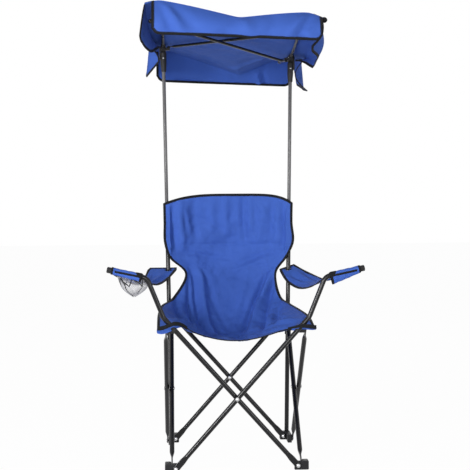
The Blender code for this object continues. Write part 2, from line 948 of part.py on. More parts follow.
def thicken(item, thickness):
    """Give an open surface its thickness, half to each side."""
    modifier = item.modifiers.new("thickness", "SOLIDIFY")
    modifier.thickness = thickness
    modifier.offset = 0
    modifier.use_even_offset = False


def smooth_row(stations, t):
    """A smooth curve through a list of equal-length tuples, for t between 0 and 1."""
    place = t * (len(stations) - 1)
    k = min(int(place), len(stations) - 2)
    f = place - k
    p0 = stations[max(k - 1, 0)]
    p1 = stations[k]
    p2 = stations[k + 1]
    p3 = stations[min(k + 2, len(stations) - 1)]
    result = []
    for a, b, c, d in zip(p0, p1, p2, p3):
        slope = c - a
        bend = 2 * a - 5 * b + 4 * c - d
        turn = 3 * b - a - 3 * c + d
        result.append((2 * b + slope * f + bend * f ** 2 + turn * f ** 3) / 2)
    return result


def back_edge_x(height):
    """Half width of the back cloth where it meets its sleeves."""
    return post_x(height) - tube_radius - sleeve_clearance - sling_thickness / 2


def sling_stations():
    """(half width, edge y, edge z, middle y, middle z) from the back's top to the seat's front."""
    top = back_top_height
    low = back_sleeve_bottom
    arch = back_top_arch
    high_back = (low + top) / 2
    low_back = (low + waist_height) / 2
    waist = waist_half_width
    lap_y = half + front_plane_offset
    rear = seat_rear_half_width
    seat_top = seat_corner_top
    seat_low = seat_top - seat_sag
    front = -half - flat_radius / 2
    return (
        (back_edge_x(top), post_y, top, post_y + back_sag * 0.35, top + arch),
        (back_edge_x(high_back), post_y, high_back, post_y + back_sag * 0.75, high_back + arch / 2),
        (back_edge_x(low), post_y, low, post_y + back_sag, low),
        (
            back_edge_x(low_back) * low_back_share,
            post_y - tube_radius,
            low_back,
            post_y + back_sag * 0.9,
            low_back - arch / 4,
        ),
        (
            waist,
            post_y - tube_radius * 2.5,
            waist_height,
            post_y + back_sag * 0.5,
            waist_height - arch / 2,
        ),
        (
            waist * 1.06,
            lap_y - front_plane_offset / 2,
            waist_height - back_lap,
            lap_y,
            waist_height - back_lap * 1.45,
        ),
        (rear, half * 0.80, seat_top + seat_sag * 0.20, half * 0.72, seat_low + seat_sag * 0.12),
        (rear * 1.04, half * 0.25, seat_top + seat_sag * 0.02, half * 0.20, seat_low - seat_sag * 0.10),
        (rear * 1.10, -half * 0.40, seat_top + seat_sag * 0.02, -half * 0.40, seat_low + seat_sag * 0.05),
        (seat_corner_half_width, front, seat_top, front, seat_top - seat_front_sag),
    )


def sling():
    """The one cloth of seat and back, with its sleeves round the posts."""
    columns = 12
    lines = 26
    stations = sling_stations()
    rows = []
    for r in range(lines + 1):
        t = r / lines
        wide, edge_y, edge_z, middle_y, middle_z = smooth_row(stations, t)
        if edge_z > waist_height:
            wide = min(wide, back_edge_x(edge_z))
        in_back = max(0.0, 1 - t / 0.40)
        in_seat = max(0.0, (t - 0.45) / 0.55)
        row = []
        for c in range(columns + 1):
            u = 2 * c / columns - 1
            dip = (1 - u * u) ** (1 + 0.7 * smooth_step((t - 0.45) / 0.2))
            free = 1 - u * u
            upright = back_fold_depth * math.sin(in_back * math.pi) * math.cos(u * math.pi * 3.0) * free
            wave = math.cos((abs(u) * 2.2 + in_seat * 1.2) * math.pi)
            slanted = seat_fold_depth * math.sin(in_seat * math.pi) * wave * free
            row.append((
                wide * u,
                edge_y + (middle_y - edge_y) * dip + upright,
                edge_z + (middle_z - edge_z) * dip + slanted,
            ))
        rows.append(row)
    item = cloth("seat_sling", rows, sling_thickness, fabric)
    for side in (-1, 1):
        low = Vector((side * post_x(back_sleeve_bottom), post_y, back_sleeve_bottom))
        high = Vector((side * post_x(back_top_height), post_y, back_top_height))
        bore = tube_radius + sleeve_clearance
        profile = pipe_profile(bore + sling_thickness, bore, (high - low).length)
        sleeve = turned("seat_sling_sleeve", profile, low, high - low, None, shell_sides)
        join(item, sleeve)
    return item


def canopy_height(x, y):
    """Height of the canopy's top cloth."""
    return level_height(x, y) + lean_at(x)


def level_height(x, y):
    """Height of the canopy's top cloth before it leans."""
    forward = y < post_y
    reach = front_reach if forward else rear_reach
    rise = front_rise if forward else rear_rise
    drop = canopy_front_drop if forward else canopy_rear_drop
    share = abs(y - post_y) / reach
    over_ribs = head_centre_height + rib_lift + rib_knob_radius + canopy_clearance + cloth_thickness / 2
    ridge = over_ribs + head_depth * 0.25 * max(0.0, 1 - share * 3) + rise * share
    across = min(abs(x) / head_axis_x, 1)
    ridge -= drop * (1 - across) ** fold_power * share ** 1.5
    past_rib = head_axis_x + rib_knob_radius
    beyond = max(0.0, abs(x) - past_rib) / (canopy_half_width - past_rib)
    return ridge - canopy_corner_drop * beyond ** 1.4


def canopy():
    """The canopy cloth: a tray held up by the ribs, with a valance all round."""
    front_rows = 8
    rear_rows = 7
    half_columns = 7
    ys = [canopy_front_y + (post_y - canopy_front_y) * k / front_rows for k in range(front_rows)]
    ys += [post_y + (canopy_rear_y - post_y) * k / rear_rows for k in range(rear_rows + 1)]
    inner = [head_axis_x * k / (half_columns - 2) for k in range(half_columns - 1)]
    outer = [head_axis_x + rib_knob_radius, canopy_half_width]
    right = inner[1:] + outer
    xs = [-x for x in right[::-1]] + [0.0] + right
    bm = bmesh.new()
    grid = [[bm.verts.new((x, y, canopy_height(x, y))) for x in xs] for y in ys]
    for low, high in zip(grid, grid[1:]):
        for k in range(len(xs) - 1):
            bm.faces.new((low[k], low[k + 1], high[k + 1], high[k]))
    rim = grid[0] + [row[-1] for row in grid[1:-1]] + grid[-1][::-1] + [row[0] for row in grid[-2:0:-1]]
    loops = [rim]
    for share in (0.5, 1.0):
        loop = []
        for vert in rim:
            x, y, z = vert.co
            deep, outwards, level = valance_at(x, y, z)
            flare = outwards * valance_flare * share ** 0.7 * level
            loop.append(bm.verts.new(Vector((x, y, z - deep * share)) + flare))
        loops.append(loop)
    for upper, lower in zip(loops, loops[1:]):
        for k in range(len(rim)):
            n = (k + 1) % len(rim)
            bm.faces.new((upper[k], upper[n], lower[n], lower[k]))
    item = link_mesh("canopy_cloth", bm, fabric)
    item.data.shade_smooth()
    thicken(item, cloth_thickness)
    return item


def valance_at(x, y, z):
    """Depth of the valance at a point of the rim, which way it flares and how much."""
    on_side = abs(abs(x) - canopy_half_width) < fit_gap
    on_end = min(abs(y - canopy_front_y), abs(y - canopy_rear_y)) < fit_gap
    forward = y < post_y
    deep = valance_depth if forward else valance_rear_depth
    reach = front_reach + canopy_front_overhang if forward else rear_reach + canopy_rear_overhang
    outwards = Vector((0, 0, 0))
    share = abs(y - post_y) / reach
    if on_side:
        outwards.x = math.copysign(1, x)
        full = deep - valance_notch - canopy_corner_drop + lean_at(x) * (1 - hem_lean_share)
        deep = valance_notch + full * math.sin(min(share * 1.25, 1) * math.pi / 2)
    if on_end:
        outwards.y = math.copysign(1, y - post_y)
        hem = level_height(head_axis_x, y) + lean_at(x) * hem_lean_share
        hem -= valance_depth if forward else valance_rear_depth
        deep = z - hem
    outwards.normalize()
    return deep, outwards, share


def arm_line(side):
    """Ends of the run of an arm tube that its armrest holds, outer one first."""
    return arm_point(side, cap_length), arm_point(side, wing_run - arm_bend_radius * 0.55)


def arm_tail_height(side):
    """Height at which an armrest goes round its post."""
    outer, inner = arm_line(side)
    return (outer.z + inner.z) / 2 - tube_radius / 2


def arm_place(side, t):
    """Middle and half width of an armrest, for t from 0 at the arm tube to 1 behind the post."""
    outer, inner = arm_line(side)
    front = (outer + inner) / 2
    near = front.y + tube_radius + sleeve_clearance + arm_thickness / 2
    far = post_y + arm_tail_length
    leaf = (post_x(arm_tail_height(side)) + arm_leaf_offset) * side
    half_widths = (
        (0.0, abs(outer.x - inner.x) / 2),
        (0.10, arm_cup_half_width),
        (0.27, arm_cup_half_width * 0.92),
        (0.48, arm_waist_half_width),
        (0.64, arm_waist_half_width * 1.05),
        (0.84, arm_tail_half_width),
        (1.0, arm_tail_half_width * 0.90),
    )
    wide = smooth_row([pair[1:] for pair in half_widths], shares_place(half_widths, t))[0]
    along = smooth_step((t - 0.10) / ((post_y - near) / (far - near) - 0.10))
    return (
        Vector((
            front.x + (leaf - front.x) * along,
            near + (far - near) * t,
            front.z + (arm_tail_height(side) - front.z) * t - arm_sag * math.sin(math.pi * t),
        )),
        wide,
    )


def arm_cloth(side):
    """An armrest: a strap from the arm tube, drawn in at its waist, to a leaf round the post."""
    name = ("left" if side < 0 else "right") + "_armrest"
    outer, inner = arm_line(side)
    slope = (outer.z - inner.z) / 2
    columns = 8
    lines = 14
    rows = []
    for r in range(lines + 1):
        t = r / lines
        centre, wide = arm_place(side, t)
        row = []
        for c in range(columns + 1):
            u = 2 * c / columns - 1
            level = slope * u * side * (1 - t) ** 2 - arm_sag * 0.3 * u * u * math.sin(math.pi * t)
            row.append(centre + Vector((wide * u, 0, level)))
        rows.append(row)
    item = cloth(name, rows, arm_thickness, fabric)
    bore = tube_radius + sleeve_clearance
    length = (outer - inner).length
    profile = pipe_profile(bore + arm_thickness, bore, length)
    sleeve = turned(name + "_sleeve", profile, inner, outer - inner, None, shell_sides)
    join(item, sleeve)
    tail = arm_tail_height(side)
    hole_low = Vector((side * post_x(tail - arm_sag * 2), post_y, tail - arm_sag * 2))
    hole_high = Vector((side * post_x(tail + arm_sag * 2), post_y, tail + arm_sag * 2))
    cut(item, rod(name + "_post_hole", hole_low, hole_high, bore, None, shell_sides))
    if side < 0:
        place = cup_place()
        reach = Vector((0, 0, arm_sag))
        radius = cup_radius + cup_rim + fit_gap
        cut(item, rod(name + "_cup_hole", place - reach, place + reach, radius, None, shell_sides))
    return item


def shares_place(table, t):
    """Where t falls in a table of (place, value) pairs, as a share of its whole number of steps."""
    for k in range(len(table) - 1):
        if t <= table[k + 1][0]:
            return (k + (t - table[k][0]) / (table[k + 1][0] - table[k][0])) / (len(table) - 1)
    return 1.0


def smooth_step(t):
    """A smooth ramp from 0 to 1."""
    t = max(0.0, min(1.0, t))
    return t * t * (3 - 2 * t)


def cup_place():
    """Middle of the cup pocket's mouth, in the left armrest."""
    outer, inner = arm_line(-1)
    run = post_y + arm_tail_length - outer.y
    reach = tube_radius + sleeve_clearance + arm_thickness + cup_radius + cup_rim * 2
    return arm_place(-1, reach / run)[0]


def cup_pocket():
    """The cup holder in the left armrest: a pocket open at its top, with a thick rim."""
    inside = [(0, cup_wall - cup_depth), (cup_foot_radius - cup_wall, cup_wall - cup_depth)]
    outside = [
        (cup_radius - cup_wall, cup_rim),
        (cup_radius + cup_rim, cup_rim),
        (cup_radius + cup_rim, -cup_rim),
        (cup_radius, -cup_rim * 1.6),
        (cup_foot_radius, -cup_depth),
        (0, -cup_depth),
    ]
    return turned("cup_pocket", inside + outside, cup_place(), (0, 0, 1), mesh_cloth, shell_sides)


# Assembly


clear_scene()
parts = new_collection(COLLECTION_NAME)
cutters = new_collection(CUTTER_COLLECTION_NAME)

origin_empty = bpy.data.objects.new("chair_origin", None)
origin_empty.location = (0, -model_middle_y, 0)
parts.objects.link(origin_empty)

steel = new_material("black_tube", (0.012, 0.012, 0.014), 0.22, 0.3)
pole_steel = new_material("grey_pole", (0.05, 0.05, 0.055), 0.3, 0.4)
plastic = new_material("black_plastic", (0.01, 0.01, 0.011), 0.45)
rivet_steel = new_material("rivet_steel", (0.6, 0.6, 0.6), 0.3, 1.0)
fabric = new_material("blue_cloth", (0.015, 0.09, 0.42), 0.85)
mesh_cloth = new_material("grey_net", (0.3, 0.32, 0.34), 0.8)

# Each pair's first tube lies in front of, or outside, its second one
first_front_y = front_y - tube_offset
second_front_y = front_y + tube_offset
first_rear_y = rear_y - tube_offset
second_rear_y = rear_y + tube_offset
right_arm_y = first_front_y
left_arm_y = second_front_y
mid_height = (foot_pivot_height + corner_height) / 2

root = Body("rear_left_post", (0, 0, 0))
root.empty.parent = origin_empty

left_side_rear = Body("left_side_rear_tube", (-outer_x, half, foot_pivot_height), root)
left_side_front = Body("left_side_front_tube", (-inner_x, 0, mid_height), left_side_rear)
left_front_foot = Body("left_front_foot", (-inner_x, -half, foot_pivot_height), left_side_front)
left_slider = Body("left_slider", (-inner_x, half, corner_height), left_side_front)
left_corner = Body("left_seat_corner", (-outer_x, -half, corner_height), left_side_rear)
front_first = Body("front_first_tube", (-half, first_front_y, foot_pivot_height), left_front_foot)
front_second = Body("front_second_tube", (0, second_front_y, mid_height), front_first)
right_front_foot = Body("right_front_foot", (half, second_front_y, foot_pivot_height), front_second)
rear_first = Body("rear_first_tube", (-half, first_rear_y, foot_pivot_height), root)
rear_second = Body("rear_second_tube", (0, second_rear_y, mid_height), rear_first)
right_post_body = Body("rear_right_post", (half, second_rear_y, foot_pivot_height), rear_second)
right_side_rear = Body("right_side_rear_tube", (outer_x, half, foot_pivot_height), right_post_body)
right_side_front = Body("right_side_front_tube", (inner_x, 0, mid_height), right_side_rear)
right_slider = Body("right_slider", (inner_x, half, corner_height), right_side_front)
right_corner = Body("right_seat_corner", (outer_x, -half, corner_height), right_side_rear)
left_pole_body = Body("left_pole", (-post_x(post_top), post_y, post_top), root)
right_pole_body = Body("right_pole", (post_x(post_top), post_y, post_top), right_post_body)
left_head_body = Body("left_canopy_head", (-head_axis_x, post_y, hub_height(-1)), left_pole_body)
right_head_body = Body("right_canopy_head", (head_axis_x, post_y, hub_height(1)), right_pole_body)
brace_x = head_axis_x - brace_inset
brace_y = post_y - head_length / 3
left_brace_body = Body("left_diagonal", (-brace_x, brace_y, brace_height(-1)), left_head_body)
right_brace_body = Body("right_diagonal", (brace_x, brace_y, brace_height(1)), right_head_body)

left_side_rear.carry(scissor_tube("left_rear_leg", (-outer_x, half, foot_pivot_height), 1, "X"))
left_side_front.carry(scissor_tube("left_front_leg", (-inner_x, -half, foot_pivot_height), -1, "X"))
right_side_rear.carry(scissor_tube("right_rear_leg", (outer_x, half, foot_pivot_height), 1, "X"))
right_side_front.carry(scissor_tube("right_front_leg", (inner_x, -half, foot_pivot_height), -1, "X"))
first_foot = (-half, first_front_y, foot_pivot_height)
second_foot = (half, second_front_y, foot_pivot_height)
front_first.carry(scissor_tube("front_tube_to_right_arm", first_foot, 1, "Y", 1))
front_second.carry(scissor_tube("front_tube_to_left_arm", second_foot, -1, "Y", -1))
rear_first.carry(scissor_tube("rear_tube_from_left", (-half, first_rear_y, foot_pivot_height), 1, "Y"))
rear_second.carry(scissor_tube("rear_tube_from_right", (half, second_rear_y, foot_pivot_height), -1, "Y"))

front_first.carry(crossing_rivet("front_rivet", (0, front_y, mid_height), (0, 1, 0)))
rear_first.carry(crossing_rivet("rear_rivet", (0, rear_y, mid_height), (0, 1, 0)))
side_x = half + side_plane_offset
left_side_rear.carry(crossing_rivet("left_rivet", (-side_x, 0, mid_height), (1, 0, 0)))
right_side_rear.carry(crossing_rivet("right_rivet", (side_x, 0, mid_height), (1, 0, 0)))

left_front_foot.carry(front_foot(-1, first_front_y))
right_front_foot.carry(front_foot(1, second_front_y))
root.carry(rear_foot(-1, first_rear_y))
right_post_body.carry(rear_foot(1, second_rear_y))
left_corner.carry(seat_corner(-1, second_front_y))
right_corner.carry(seat_corner(1, first_front_y))
left_slider.carry(slider(-1, second_rear_y))
right_slider.carry(slider(1, first_rear_y))

root.carry(post(-1))
right_post_body.carry(post(1))
for pole_body, head_body, brace_body, hand in (
    (left_pole_body, left_head_body, left_brace_body, -1),
    (right_pole_body, right_head_body, right_brace_body, 1),
):
    pole_body.carry(pole(hand))
    pole_body.carry(pole_socket(hand))
    head_body.carry(canopy_head(hand))
    head_body.carry(straight_rib(hand, "front", front_reach, front_rise, -1))
    head_body.carry(straight_rib(hand, "rear", rear_reach, rear_rise, 1))
    brace_body.carry(brace(hand))

front_second.carry(arm_cap(-1))
front_first.carry(arm_cap(1))
left_slider.carry(arm_cloth(-1))
right_slider.carry(arm_cloth(1))
front_second.carry(cup_pocket())
root.carry(sling())
left_head_body.carry(canopy())
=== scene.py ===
"""Finish, cloth and stage for a folding camp chair with a canopy. Run as a script."""

import math

import bmesh
import bpy
import numpy as np
from bpy.props import FloatProperty, FloatVectorProperty, IntProperty, PointerProperty
from bpy.types import Operator, Panel, PropertyGroup
from mathutils import Matrix, Vector, noise


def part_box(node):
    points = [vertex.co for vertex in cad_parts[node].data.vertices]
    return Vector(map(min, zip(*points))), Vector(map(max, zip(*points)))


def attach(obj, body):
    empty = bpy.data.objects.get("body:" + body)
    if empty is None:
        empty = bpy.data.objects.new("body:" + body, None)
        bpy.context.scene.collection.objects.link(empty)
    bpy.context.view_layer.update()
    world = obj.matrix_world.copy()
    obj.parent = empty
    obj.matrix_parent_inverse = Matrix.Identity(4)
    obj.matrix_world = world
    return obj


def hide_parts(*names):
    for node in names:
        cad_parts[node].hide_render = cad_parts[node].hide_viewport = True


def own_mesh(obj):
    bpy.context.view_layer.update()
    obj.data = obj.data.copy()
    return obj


bl_info = {
    "name": "Canopy Chair Finish",
    "version": (1, 0, 0),
    "blender": (4, 5, 0),
    "location": "View3D > Sidebar > Canopy Chair",
    "description": "Tubes, cloth, fittings and stage for a folding chair with a canopy",
    "category": "Object",
}

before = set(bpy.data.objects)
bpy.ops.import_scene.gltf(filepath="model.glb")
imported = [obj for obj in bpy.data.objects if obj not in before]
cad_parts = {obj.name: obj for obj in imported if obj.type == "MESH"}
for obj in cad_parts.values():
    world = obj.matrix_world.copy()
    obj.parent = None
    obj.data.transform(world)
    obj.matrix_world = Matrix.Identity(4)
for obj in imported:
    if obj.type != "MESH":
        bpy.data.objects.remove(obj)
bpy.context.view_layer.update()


# Sizes of the frame, in metres, the same as the solids'

pivot_spacing = 0.400
pivot_rise = 0.448
foot_pivot_height = 0.015
tube_radius = 0.008
tube_gap = 0.001
flat_half = 0.0025
flat_radius = 0.010
flat_length = 0.030
press_length = 0.025
running_gap = 0.0006
fit_gap = 0.0003
front_plane_offset = 0.030
side_plane_offset = 0.0205
arm_runs = (0.055, 0.140, 0.128)
upright_angle = math.radians(22.0)
wing_angle = math.radians(78.0)
arm_bend_radius = 0.032
cap_length = 0.022
post_offset = 0.013
post_splay = math.radians(0.9)
post_bottom = 0.006
post_top = 0.815
pole_radius = 0.0065
pole_overlap = 0.100
pole_cover = 0.0335
hub_height = 1.4315
canopy_lean = 0.036
hem_lean_share = 0.45
head_width = 0.018
head_length = 0.060
head_depth = 0.020
rib_radius = 0.0050
knob_radius = 0.0072
knob_length = 0.016
rib_seat = 0.016
front_reach = 0.435
front_rise = 0.068
rear_reach = 0.400
rear_rise = 0.048
brace_inset = 0.0196
brace_rise = 0.030
brace_gap = 0.004
brace_flat = 0.0016
lug_share = 0.12
canopy_overhang = 0.012
canopy_side_overhang = 0.0545
canopy_front_drop = 0.034
canopy_rear_drop = 0.074
canopy_corner_drop = 0.012
fold_power = 1.25
valance_depth = 0.094
valance_rear_depth = 0.112
valance_flare = 0.022
seat_corner_lift = 0.0235
seat_sag = 0.078
seat_front_sag = 0.062
back_lap = 0.088
back_top_height = 0.878
back_top_arch = 0.033
back_sag = 0.050
arm_sag = 0.026
arm_tail_length = 0.030
arm_leaf_offset = 0.018
arm_thickness = 0.0022
sleeve_clearance = 0.0008
cup_radius = 0.040
cup_depth = 0.070
cup_rim = 0.0030
cup_wall = 0.6
back_cloth_gap = 0.0018
top_cloth_gap = 0.0012
ridge_shift = 0.017
rear_ridge_drift = 0.057
ridge_softness = 0.012
diagonal_short = 0.018
corner_round = 0.0015
curl_reach = 0.10
screw_radius = 0.0026
screw_height = 0.0013
floor_glow_share = 0.97
seam_share = 0.72

half = pivot_spacing / 2
scissor_length = math.hypot(pivot_spacing, pivot_rise)
scissor_angle = math.atan2(pivot_spacing, pivot_rise)
corner_height = foot_pivot_height + pivot_rise
mid_height = (foot_pivot_height + corner_height) / 2
tube_offset = tube_radius + tube_gap / 2
front_y = -half - front_plane_offset
rear_y = half + front_plane_offset
outer_x = half + side_plane_offset + tube_offset
inner_x = half + side_plane_offset - tube_offset
post_y = rear_y + tube_offset + flat_half + 2 * running_gap + 0.003 + tube_radius
post_spacing = pivot_spacing + 2 * post_offset
head_axis_x = post_spacing / 2 + hub_height * math.sin(post_splay)
canopy_half_width = head_axis_x + canopy_side_overhang
brace_corner = canopy_half_width + 0.002
canopy_front_y = post_y - front_reach - canopy_overhang
canopy_rear_y = post_y + rear_reach + canopy_overhang
seat_corner_top = corner_height + seat_corner_lift
sleeve_bottom = seat_corner_top + (back_top_height - seat_corner_top) * 0.643
waist_height = seat_corner_top + (back_top_height - seat_corner_top) * 0.3427
rib_lift = head_depth * 0.2
brace_step = rib_radius + brace_gap / 2
before_posts = post_y - tube_radius - back_cloth_gap
x_way, y_way, z_way = (Vector(way) for way in ((1, 0, 0), (0, 1, 0), (0, 0, 1)))
both_sides = ((-1, "left"), (1, "right"))

# The solids stand with the middle of their box over the origin, and the sums above
# with the middle of the feet there, so every finished mesh is shifted by this much.
post_low, post_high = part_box("left_post")
frame_shift = (post_low.y + post_high.y) / 2 - post_y


def post_x(height):
    """Distance of a post's axis from the middle at a height."""
    return post_spacing / 2 + height * math.sin(post_splay)


def post_point(side, height):
    """Point on a post's axis at a height."""
    return side * post_x(height), post_y, height


def head_height(side):
    """Height of a head's tilt pin: the left pole is drawn out further than the right one."""
    return hub_height - side * canopy_lean / 2


def lean_at(x):
    """How much the canopy stands over its middle at a distance to the side."""
    return -x / head_axis_x * canopy_lean / 2


def smooth_step(t):
    """A smooth ramp from 0 to 1."""
    t = max(0.0, min(1.0, t))
    return t * t * (3 - 2 * t)


def bell(x, middle, width):
    """A smooth bump of height 1."""
    return math.exp(-(((x - middle) / width) ** 2))


def circle(count):
    """Level unit directions all round."""
    turns = [math.tau * k / count for k in range(count)]
    return np.array([(math.cos(turn), math.sin(turn), 0.0) for turn in turns])


def headings(path):
    """The direction of a path at each of its points."""
    last = len(path) - 1
    return [(path[min(k + 1, last)] - path[max(k - 1, 0)]).normalized() for k in range(last + 1)]


# Settings


def metres(name, description, default):
    """A setting for a length."""
    return FloatProperty(name=name, description=description, default=default, unit="LENGTH")


def number(name, description, default):
    """A setting for a factor, a level or a power."""
    return FloatProperty(name=name, description=description, default=default)


def tint(name, description, default):
    """A setting for the colour of a finish."""
    return FloatVectorProperty(name=name, description=description, subtype="COLOR", default=default)


class ChairClothSettings(PropertyGroup):
    """Sizes of the cloth and its sewing."""

    sheet: metres("Sheet thickness", "Thickness of the woven cloth", 0.0012)
    weave: metres("Weave pitch", "Distance between two threads", 0.0011)
    tape_width: metres("Tape width", "Width of the edge binding", 0.0100)
    tape_thickness: metres("Tape thickness", "Thickness over the bound edge", 0.0034)
    stitch_pitch: metres("Stitch pitch", "Distance between two stitches", 0.0042)
    stitch_length: metres("Stitch length", "Length of one stitch", 0.0030)
    thread: metres("Thread radius", "Radius of the sewing thread", 0.00035)
    net_strand: metres("Net strand", "Radius of a strand of the net", 0.00042)
    net_cells: IntProperty(name="Net cells", description="Cells round the cup pocket", default=44)
    fold_depth: number("Fold depth", "Factor on the depth of every fold", 2.1)


class ChairColourSettings(PropertyGroup):
    """Colours of the finishes."""

    cloth: tint("Cloth", "Woven cloth", (0.045, 0.105, 0.408))
    tape: tint("Tape", "Edge binding", (0.006, 0.0065, 0.008))
    thread: tint("Thread", "Sewing thread", (0.022, 0.050, 0.200))
    tube: tint("Tube", "Coated frame tube", (0.005, 0.005, 0.006))
    pole: tint("Pole", "Coated canopy pole", (0.090, 0.088, 0.090))
    plastic: tint("Plastic", "Moulded fittings", (0.011, 0.011, 0.012))
    rivet: tint("Rivet", "Plated rivets", (0.60, 0.60, 0.61))
    net: tint("Net", "Cup pocket net", (0.44, 0.44, 0.47))
    floor: tint("Floor", "Floor and backdrop", (0.90, 0.90, 0.90))


class ChairStageSettings(PropertyGroup):
    """Camera and lamps."""

    camera_place: FloatVectorProperty(
        name="Camera",
        description="Place of the camera",
        subtype="TRANSLATION",
        default=(-0.199, -3.739, 0.821),
    )
    camera_turn: FloatVectorProperty(
        name="Camera turn", description="Pitch, yaw and roll in degrees", default=(-0.88, 3.40, -0.35)
    )
    focal_length: number("Focal length", "Lens in millimetres", 78.0)
    key_power: number("Key", "Power of the tall lamp at the left in watts", 88.0)
    front_power: number("Front", "Power of the lamp over the camera in watts", 50.0)
    fill_power: number("Fill", "Power of the fill lamp in watts", 24.0)
    rim_power: number("Rim", "Power of the lamp behind in watts", 22.0)
    world_level: number("World", "Level of the surrounding light", 0.27)


# Materials


def add_node(tree, kind, inputs, **values):
    """Add a node whose inputs are plain values, sockets, or nodes that give their first output."""
    made = tree.nodes.new(kind)
    for key, value in values.items():
        setattr(made, key, value)
    for key, value in inputs.items():
        for one in value if isinstance(value, list) else [value]:
            if isinstance(one, bpy.types.Node):
                one = one.outputs[0]
            if isinstance(one, bpy.types.NodeSocket):
                tree.links.new(one, made.inputs[key])
            else:
                made.inputs[key].default_value = one
    return made


class Finish:
    """A material with one Principled shader, and shorthand for its node tree."""

    def __init__(self, name, colour, roughness, metallic=0.0):
        self.material = bpy.data.materials.new(name)
        self.material.use_nodes = True
        self.tree = self.material.node_tree
        self.shader = next(n for n in self.tree.nodes if n.type == "BSDF_PRINCIPLED")
        self.set("Base Color", (*colour, 1))
        self.set("Roughness", roughness)
        self.set("Metallic", metallic)
        self.coordinate = self.tree.nodes.new("ShaderNodeTexCoord")

    def set(self, name, value):
        """Set or link an input of the shader."""
        if isinstance(value, bpy.types.NodeSocket):
            self.tree.links.new(value, self.shader.inputs[name])
        else:
            self.shader.inputs[name].default_value = value

    def math(self, operation, *values):
        return add_node(self.tree, "ShaderNodeMath", dict(enumerate(values)), operation=operation).outputs[0]

    def noise(self, scale, detail=3.0, stretch=(1, 1, 1), source="Object"):
        """Cloudy noise, its scale multiplied along each axis by a stretch."""
        place = {"Vector": self.coordinate.outputs[source], "Scale": stretch}
        mapping = add_node(self.tree, "ShaderNodeMapping", place)
        cloud = {"Vector": mapping, "Scale": scale, "Detail": detail}
        return add_node(self.tree, "ShaderNodeTexNoise", cloud).outputs["Fac"]

    def between(self, value, low, high):
        """The usual span of a noise, spread from one value to another."""
        ends = {"From Min": 0.3, "From Max": 0.7, "To Min": low, "To Max": high}
        return add_node(self.tree, "ShaderNodeMapRange", {**ends, "Value": value}).outputs[0]

    def colours(self, value, dark, light):
        ends = {0: value, 6: (*dark, 1), 7: (*light, 1)}
        return add_node(self.tree, "ShaderNodeMix", ends, data_type="RGBA").outputs[2]

    def bump(self, height, distance, strength=1.0, normal=None):
        push = {"Height": height, "Distance": distance, "Strength": strength}
        if normal is not None:
            push["Normal"] = normal
        return add_node(self.tree, "ShaderNodeBump", push).outputs[0]

    def ripples(self, axis, pitch):
        """Rounded ribs along one axis of the sheet's own map."""
        apart = add_node(self.tree, "ShaderNodeSeparateXYZ", {0: self.coordinate.outputs["UV"]})
        wave = self.math("SINE", self.math("MULTIPLY", apart.outputs[axis], math.pi / pitch))
        return self.math("ABSOLUTE", wave)


def shade(colour, factor):
    """A colour made lighter or darker."""
    return tuple(min(1.0, c * factor) for c in colour)


def coated_tube(name, colour, roughness, gloss):
    """Powder coat on steel: a fine pebble, dull rubs along the tube and a thin clear gloss."""
    f = Finish(name, colour, roughness)
    rubs = f.noise(30, 5, (1, 1, 0.12))
    f.set("Base Color", f.colours(f.between(rubs, 0, 1), shade(colour, 0.8), shade(colour, 1.5)))
    f.set("Roughness", f.between(f.noise(55, 4), roughness * 0.8, roughness * 1.35))
    f.set("Normal", f.bump(f.noise(700, 2), 0.00004, 0.12))
    f.set("Specular IOR Level", 0.28)
    f.set("Coat Weight", gloss)
    f.set("Coat Roughness", 0.08)
    return f.material


def moulded_plastic(name, colour):
    """Nylon from a sparked mould, with a faint sheen where hands have polished it."""
    f = Finish(name, colour, 0.45)
    f.set("Base Color", f.colours(f.noise(60, 4), shade(colour, 0.7), shade(colour, 1.9)))
    f.set("Roughness", f.between(f.noise(18, 3), 0.34, 0.58))
    f.set("Normal", f.bump(f.noise(1600, 2), 0.00018, 0.6))
    f.set("Specular IOR Level", 0.20)
    return f.material


def plated_metal(name, colour):
    """Bright zinc with a cloudy, lightly scratched face."""
    f = Finish(name, colour, 0.28, 1.0)
    f.set("Base Color", f.colours(f.noise(240, 4), shade(colour, 0.7), shade(colour, 1.15)))
    f.set("Roughness", f.between(f.noise(700, 3, (1, 1, 0.2)), 0.2, 0.42))
    f.set("Normal", f.bump(f.noise(1200, 2), 0.00008, 0.5))
    return f.material


def woven_cloth(name, colour, pitch):
    """Plain-woven polyester: threads over and under each other on the sheet's own map, with painted shade
    where they dip.
    """
    f = Finish(name, colour, 0.72)
    squares = {"Scale": 1 / pitch, "Color1": (1, 1, 1, 1), "Color2": (0, 0, 0, 1)}
    squares["Vector"] = f.coordinate.outputs["UV"]
    over = add_node(f.tree, "ShaderNodeTexChecker", squares).outputs["Fac"]
    pair = {0: over, 2: f.ripples("X", pitch), 3: f.ripples("Y", pitch)}
    threads = add_node(f.tree, "ShaderNodeMix", pair, data_type="FLOAT").outputs[0]
    slubs = f.noise(90, 4, (1, 9, 1), "UV")
    # The colour is darker where the threads dip under each other: painted shade in the weave. The slubs and
    # the broad noise are the yarn's own uneven tone.
    weave_shade_and_tone = f.math("ADD", f.math("MULTIPLY", threads, 0.30), f.math("MULTIPLY", slubs, 0.4))
    weave_shade_and_tone = f.math("ADD", weave_shade_and_tone, f.math("MULTIPLY", f.noise(7, 4), 0.45))
    f.set("Base Color", f.colours(weave_shade_and_tone, shade(colour, 0.78), shade(colour, 1.25)))
    f.set("Roughness", f.between(f.noise(40, 3), 0.64, 0.82))
    soft = f.bump(f.noise(26, 5), 0.004, 0.35)
    f.set("Normal", f.bump(threads, pitch * 0.22, 0.55, soft))
    f.set("Sheen Weight", 0.02)
    f.set("Sheen Roughness", 0.45)
    f.set("Specular IOR Level", 0.07)
    return f.material


